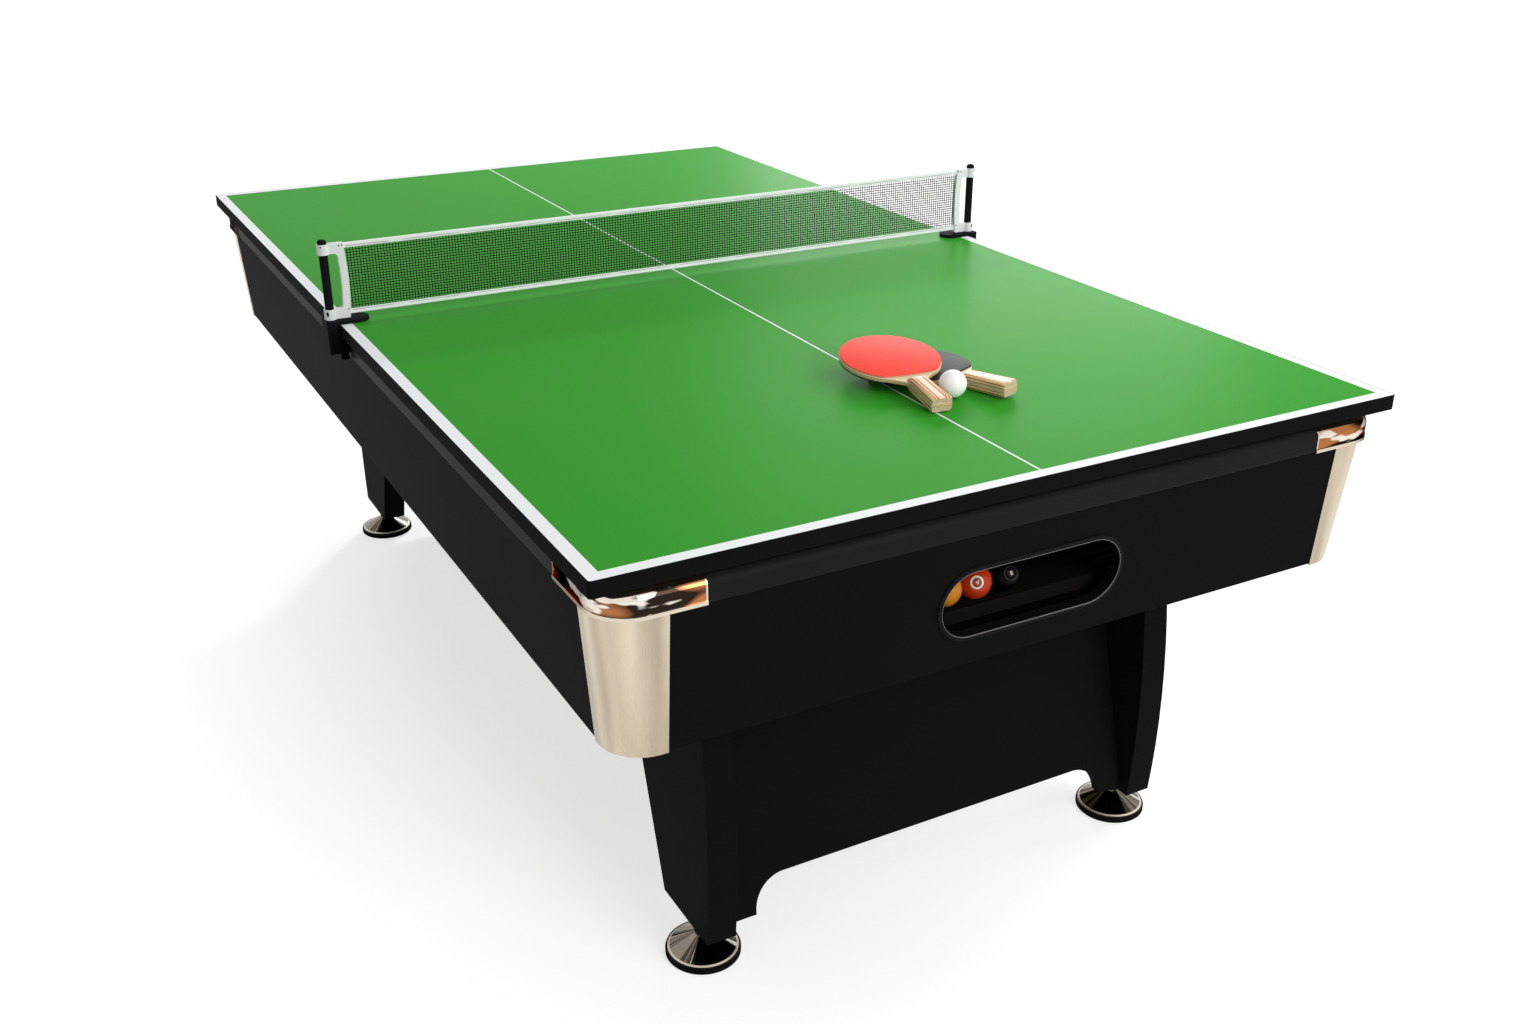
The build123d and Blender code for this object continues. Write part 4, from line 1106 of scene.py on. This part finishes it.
def handle_scale(sign):
    """A scale: a rounded slab that rises from the throat, flares and is eased at the butt."""
    rings = []
    for share in scale_shares:
        y = grip_start + (handle_end - grip_start) * share
        half_x = throat_half + (butt_half - throat_half) * share ** 1.3
        rise = min(1.0, share / risen_share)
        tall = start_tall + (handle_half_thick - blade_half_thick - start_tall) * math.sin(
            rise * math.pi / 2)
        if share >= eased_share:
            half_x -= 0.0006 if share < 1 else 0.0014
            tall -= 0.0004 if share < 1 else 0.0012
        if share < start_share:
            half_x -= start_narrow * (1 - share / start_share)
        corner = min(largest_corner, tall * 0.75)
        section = [(-half_x, 0.0)]
        for a in (math.radians(180 - 15 * k) for k in range(7)):
            section.append((-half_x + corner + corner * math.cos(a),
                            tall - corner + corner * math.sin(a)))
        bulge = [(-half_x * 0.35, tall), (half_x * 0.35, tall)]
        section = section + bulge + [(-x, z) for x, z in reversed(section)]
        rings.append([Vector((x, y, sign * (blade_half_thick + z))) for x, z in section])
    return loft(rings)


# %% [markdown]
# ### Wood, stripes and rubber for the bats
# The finishes read the kept attribute. The blade is pale wood on its faces, and on its edge
# the plies take turns. A handle scale is laminated: stripes run along it, and from the side
# they show as layers.

# %% Bat finishes
def bat_wood(flat, stretch, rings):
    """The wood figure, drawn out along the bat."""
    return use_group(figure, {"Place": flat, "Stretch": (1.0, stretch, 1.0),
                              "Rings per metre": rings, "Fibres per metre": 2600.0})


def from_middle(flat):
    """How far a place is from the middle of the blade's thickness."""
    return size_of(axes(flat)[2])


def ply_finish():
    """Pale wood whose plies take turns across its thickness."""
    finish, flat = new_finish("bat_ply", attribute="flat_place", Coat_Weight=0.15)
    wood = bat_wood(flat, 0.05, 90.0)
    pale = blend(wood["Tone"], (0.60, 0.42, 0.24), (0.80, 0.64, 0.42))
    tan = blend(wood["Tone"], (0.34, 0.17, 0.065), (0.48, 0.27, 0.12))
    dark_ply = band(from_middle(flat), 0.0007, 0.0016, 0.0001)
    return complete(finish, blend(dark_ply, pale, tan), spread(wood["Tone"], 0.38, 0.52),
                    wood["Height"], 0.00002)


def handle_finish():
    """Laminated tan wood: stripes on the face, layers on the side, open grain at the butt."""
    finish, flat = new_finish("bat_handle_wood", attribute="flat_place", Coat_Weight=0.2)
    wood = bat_wood(flat, 0.03, 160.0)
    tone = wood["Tone"]
    tan = blend(tone, (0.58, 0.33, 0.13), (0.84, 0.60, 0.32))
    beige = blend(tone, (0.62, 0.52, 0.38), (0.80, 0.70, 0.54))
    brown = blend(tone, (0.32, 0.075, 0.012), (0.52, 0.16, 0.030))
    dark = (0.060, 0.022, 0.010)
    x, y, _ = axes(flat)
    side, height = size_of(x), from_middle(flat)
    face = flank = tan
    for low, high, softness, colour in (
            (-1.0, 0.0052, 0.0006, beige), (0.0046, 0.0068, 0.0003, brown),
            (0.0068, 0.0073, 0.0002, dark), (0.0098, 0.0122, 0.0005, brown)):
        face = blend(band(side, low, high, softness), face, colour)
    for low, high, colour in ((0.0030, 0.0038, dark), (0.0045, 0.0054, beige),
                              (0.0062, 0.0082, brown)):
        flank = blend(band(height, low, high, 0.0002), flank, colour)
    colour = blend(above(height, 0.0098, 0.0008), flank, face)
    butt = rest_of(above(y, handle_end + 0.0003, 0.0002))
    pores = node("ShaderNodeTexVoronoi", {"Vector": flat, "Scale": 900.0}).outputs[0]
    open_grain = blend(pores, (0.36, 0.22, 0.12), (0.74, 0.60, 0.42))
    return complete(finish, blend(butt, colour, open_grain), spread(tone, 0.34, 0.48),
                    wood["Height"], 0.00002)


def rubber_paint(sheet_low, sheet_high, sponge):
    """A top sheet over a sponge of another colour."""
    def paint(flat, tone):
        is_sheet = above(from_middle(flat), blade_half_thick + sponge_thick, 0.0001)
        under = blend(tone, sponge, tuple(c * 1.3 for c in sponge))
        return blend(is_sheet, under, blend(tone, sheet_low, sheet_high))
    return paint


bat_ply, bat_handle = ply_finish(), handle_finish()
rubbers = {bat: speckled_finish(f"{bat}_bat_rubber", rubber_paint(*colours), (0.34, 0.44), 1500,
                                14, 0.00001, gloss, "flat_place")
           for bat, gloss, *colours in (
    ("red", 0.05, (0.80, 0.050, 0.034), (0.89, 0.070, 0.050), (0.46, 0.30, 0.20)),
    ("black", 0.04, (0.015, 0.015, 0.017), (0.024, 0.024, 0.027), (0.030, 0.034, 0.028)))}

# %% Make both bats
for bat, other in (("red", "black"), ("black", "red")):
    blade = [loft([blade_ring(inset, level) for inset, level in blade_levels])]
    for piece, parts, material, slot, part in (
            ("blade", blade, bat_ply, "ply", "blade"),
            ("face_rubber", [rubber(1)], rubbers[bat], f"{bat}_rubber", "rubbers"),
            ("under_rubber", [rubber(-1)], rubbers[other], f"{bat}_rubber", "rubbers"),
            ("handle", [handle_scale(1), handle_scale(-1)], bat_handle, "handle_wood",
             "handle")):
        bat_piece(f"{bat}_bat_{piece}", bat, parts, material, slot, [f"bat_{bat}_{part}"])

# %% [markdown]
# ## Numbers on the pool balls
# A pool ball carries its number in a ring. We cut a thin ring from the ball's own sphere,
# and bend a flat digit onto it: a point of the flat digit becomes an angle away from the
# middle of the ring.

# %% Ring and digit
number_lift, number_skin, ring_points = 0.00006, 0.00014, 48


def ball_frame(ball, towards, turn):
    """Centre, radius and three axes of a number's place on a ball."""
    low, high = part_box(f"pool_ball_{ball}")
    outwards = Vector(towards).normalized()
    level = Vector((0, 0, 1)).cross(outwards).normalized()
    rising = outwards.cross(level)
    return ((low + high) / 2, (high.x - low.x) / 2, outwards,
            math.cos(turn) * level + math.sin(turn) * rising,
            -math.sin(turn) * level + math.cos(turn) * rising)


def on_ball(placing, x, y, lift):
    """Bend a flat point onto the ball."""
    centre, radius, outwards, side_axis, up_axis = placing
    away = math.hypot(x, y)
    angle = away / radius
    sideways = (side_axis * x + up_axis * y) / away if away > 0 else Vector((0, 0, 0))
    return centre + (outwards * math.cos(angle) + sideways * math.sin(angle)) * (radius + lift)


def number_ring(name, placing, inner, outer, material, ball):
    """A thin ring, or a disc where the inner radius is nearly nothing."""
    angles = [math.radians(360 / ring_points * k) for k in range(ring_points)]
    rings = [[on_ball(placing, away * math.cos(a), away * math.sin(a), lift) for a in angles]
             for away, lift in ((inner, number_lift), (inner, number_skin),
                                ((inner + outer) / 2, number_skin), (outer, number_skin),
                                (outer, -number_lift), (inner, -number_lift))]
    new_piece(name, *loft(rings, capped=False), material, f"pool_ball_{ball}", f"ball_{ball}")


def number_digit(name, placing, digit, height, material, ball):
    """A generic digit, made flat, with a little thickness, and then bent onto the ball."""
    letter = bpy.data.curves.new(name, "FONT")
    letter.body, letter.size, letter.extrude = digit, height, number_skin / 2
    letter.align_x, letter.align_y = "CENTER", "CENTER"
    mesh = baked_mesh(new_object(name, letter))
    points = [on_ball(placing, v.co.x, v.co.y, v.co.z + number_skin * 1.2)
              for v in mesh.vertices]
    new_piece(name, points, [tuple(p.vertices) for p in mesh.polygons], material,
              f"pool_ball_{ball}", f"ball_{ball}")


orange_number = ball_frame("orange", (-0.62, -1.30, 0.58), math.radians(-14))
black_number = ball_frame("black", (-0.20, -1.30, 0.62), math.radians(10))
number_white = mottled["number_white"]
number_ring("orange_number_disc", orange_number, 0.0001, 0.0064, mottled["number_brown"],
            "orange")
number_ring("orange_number_ring", orange_number, 0.0064, 0.0092, number_white, "orange")
number_digit("orange_number_digit", orange_number, "4", 0.0100, number_white, "orange")
number_ring("black_number_ring", black_number, 0.0090, 0.0101, mottled["number_grey"], "black")
number_digit("black_number_digit", black_number, "8", 0.0080, number_white, "black")

# %% [markdown]
# ## The cushions and the bed cloth
# They lie under the tennis top and show when it is lifted. A cushion is a rubber profile
# covered with cloth: a sharp nose for the ball, a hollow under it, and ends cut back at an
# angle to open the pockets. The same section is swept between its two cut ends, and each
# end is closed by a facing that is drawn in a little, as where cloth is pulled round.

# %% Cushion section
play_low, play_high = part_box("end_cushions")
bed_level, cushion_top = play_low.z, play_high.z
cushion_depth, nose_radius, foot_lift = 0.038, 0.0025, 0.0004
nose_x, nose_y = 0.4785, 0.957
rail_x, rail_y = nose_x + cushion_depth, nose_y + cushion_depth
facing_rings, cushion_steps = [(0.0, 0.90), (0.0006, 0.965), (0.0022, 1.0)], 24


def cushion_section():
    """(distance from the rail, level) round the covered profile."""
    points = [(0.0, bed_level + foot_lift)]
    points += [(d, cushion_top - drop) for d, drop in (
        (0.0, 0.0020), (0.0006, 0.0008), (0.0020, 0.0003), (0.012, 0.0), (0.024, 0.0),
        (0.031, 0.0001))]
    for a in (math.radians(90 - 22.5 * k) for k in range(9)):
        points.append((cushion_depth - nose_radius + nose_radius * math.cos(a),
                       cushion_top - nose_radius + nose_radius * math.sin(a)))
    points += [(d, cushion_top - drop) for d, drop in (
        (0.0325, 0.0068), (0.0270, 0.0140), (0.0215, 0.0220), (0.0172, 0.0296))]
    return points + [(0.0160, bed_level + foot_lift)]


# %% Sweep the cushions
def swept_cushion(first_end, last_end, to_table):
    """Sweep the section between two cut ends; to_table puts (along, distance, level)."""
    section = cushion_section()
    middle = [sum(p[k] for p in section) / len(section) for k in (0, 1)]
    inset = facing_rings[-1][0]

    def facing(end_at, sign):
        return [[to_table(end_at(d) + sign * step_in, middle[0] + (d - middle[0]) * share,
                          middle[1] + (z - middle[1]) * share) for d, z in section]
                for step_in, share in facing_rings]

    between = [[to_table(first_end(d) + inset + share * (last_end(d) - first_end(d) - 2 * inset),
                         d, z) for d, z in section]
               for share in (k / cushion_steps for k in range(1, cushion_steps))]
    return loft(facing(first_end, 1) + between + facing(last_end, -1)[::-1])


def cut(tip, degrees, sign):
    """The end of a cushion: at the nose it is at tip, at the rail it reaches further."""
    return lambda d: tip + sign * (cushion_depth - d) * math.tan(math.radians(degrees))


corner_cut, side_cut, side_tip = 45, 22, 0.046
pocket_x, pocket_radius, pocket_gap = 0.5055, 0.0456, 0.0004
corner_tip = 0.087 / math.sqrt(2)


def clear_of_side_pocket(d):
    """The end at a side pocket, which also stays clear of the pocket's bore."""
    plain, off_axis = cut(side_tip, side_cut, -1)(d), abs(rail_x - d - pocket_x)
    if off_axis >= pocket_radius:
        return plain
    return max(plain, math.sqrt(pocket_radius ** 2 - off_axis ** 2) + pocket_gap)


end_parts = [swept_cushion(cut(-(nose_x - corner_tip), corner_cut, -1),
                           cut(nose_x - corner_tip, corner_cut, 1),
                           lambda a, d, z, s=sign: Vector((a, s * (rail_y - d), z)))
             for sign in (-1, 1)]
side_parts = [swept_cushion(clear_of_side_pocket, cut(nose_y - corner_tip, corner_cut, 1),
                            lambda a, d, z, s=side, e=sign: Vector((s * (rail_x - d), e * a, z)))
              for side in (-1, 1) for sign in (-1, 1)]
for label, parts in (("end", end_parts), ("side", side_parts)):
    cushion = new_piece(f"{label}_cushion_set", *joined(parts), pool_cloth, "table", "cushion",
                        [f"{label}_cushions"])

# %% The bed cloth
cloth_mesh = nodes["bed_cloth"].data.copy()
work = bmesh.new()
work.from_mesh(cloth_mesh)
bmesh.ops.remove_doubles(work, verts=work.verts, dist=0.00001)
cloth_area = sum(f.calc_area() for f in work.faces if f.normal.z > 0.9)
work.to_mesh(cloth_mesh)
work.free()
cloth = place_piece("stretched_bed_cloth", cloth_mesh, pool_cloth, "table", "cloth",
                    ["bed_cloth"])
print("cloth area:", round(cloth_area, 3), "square metres")
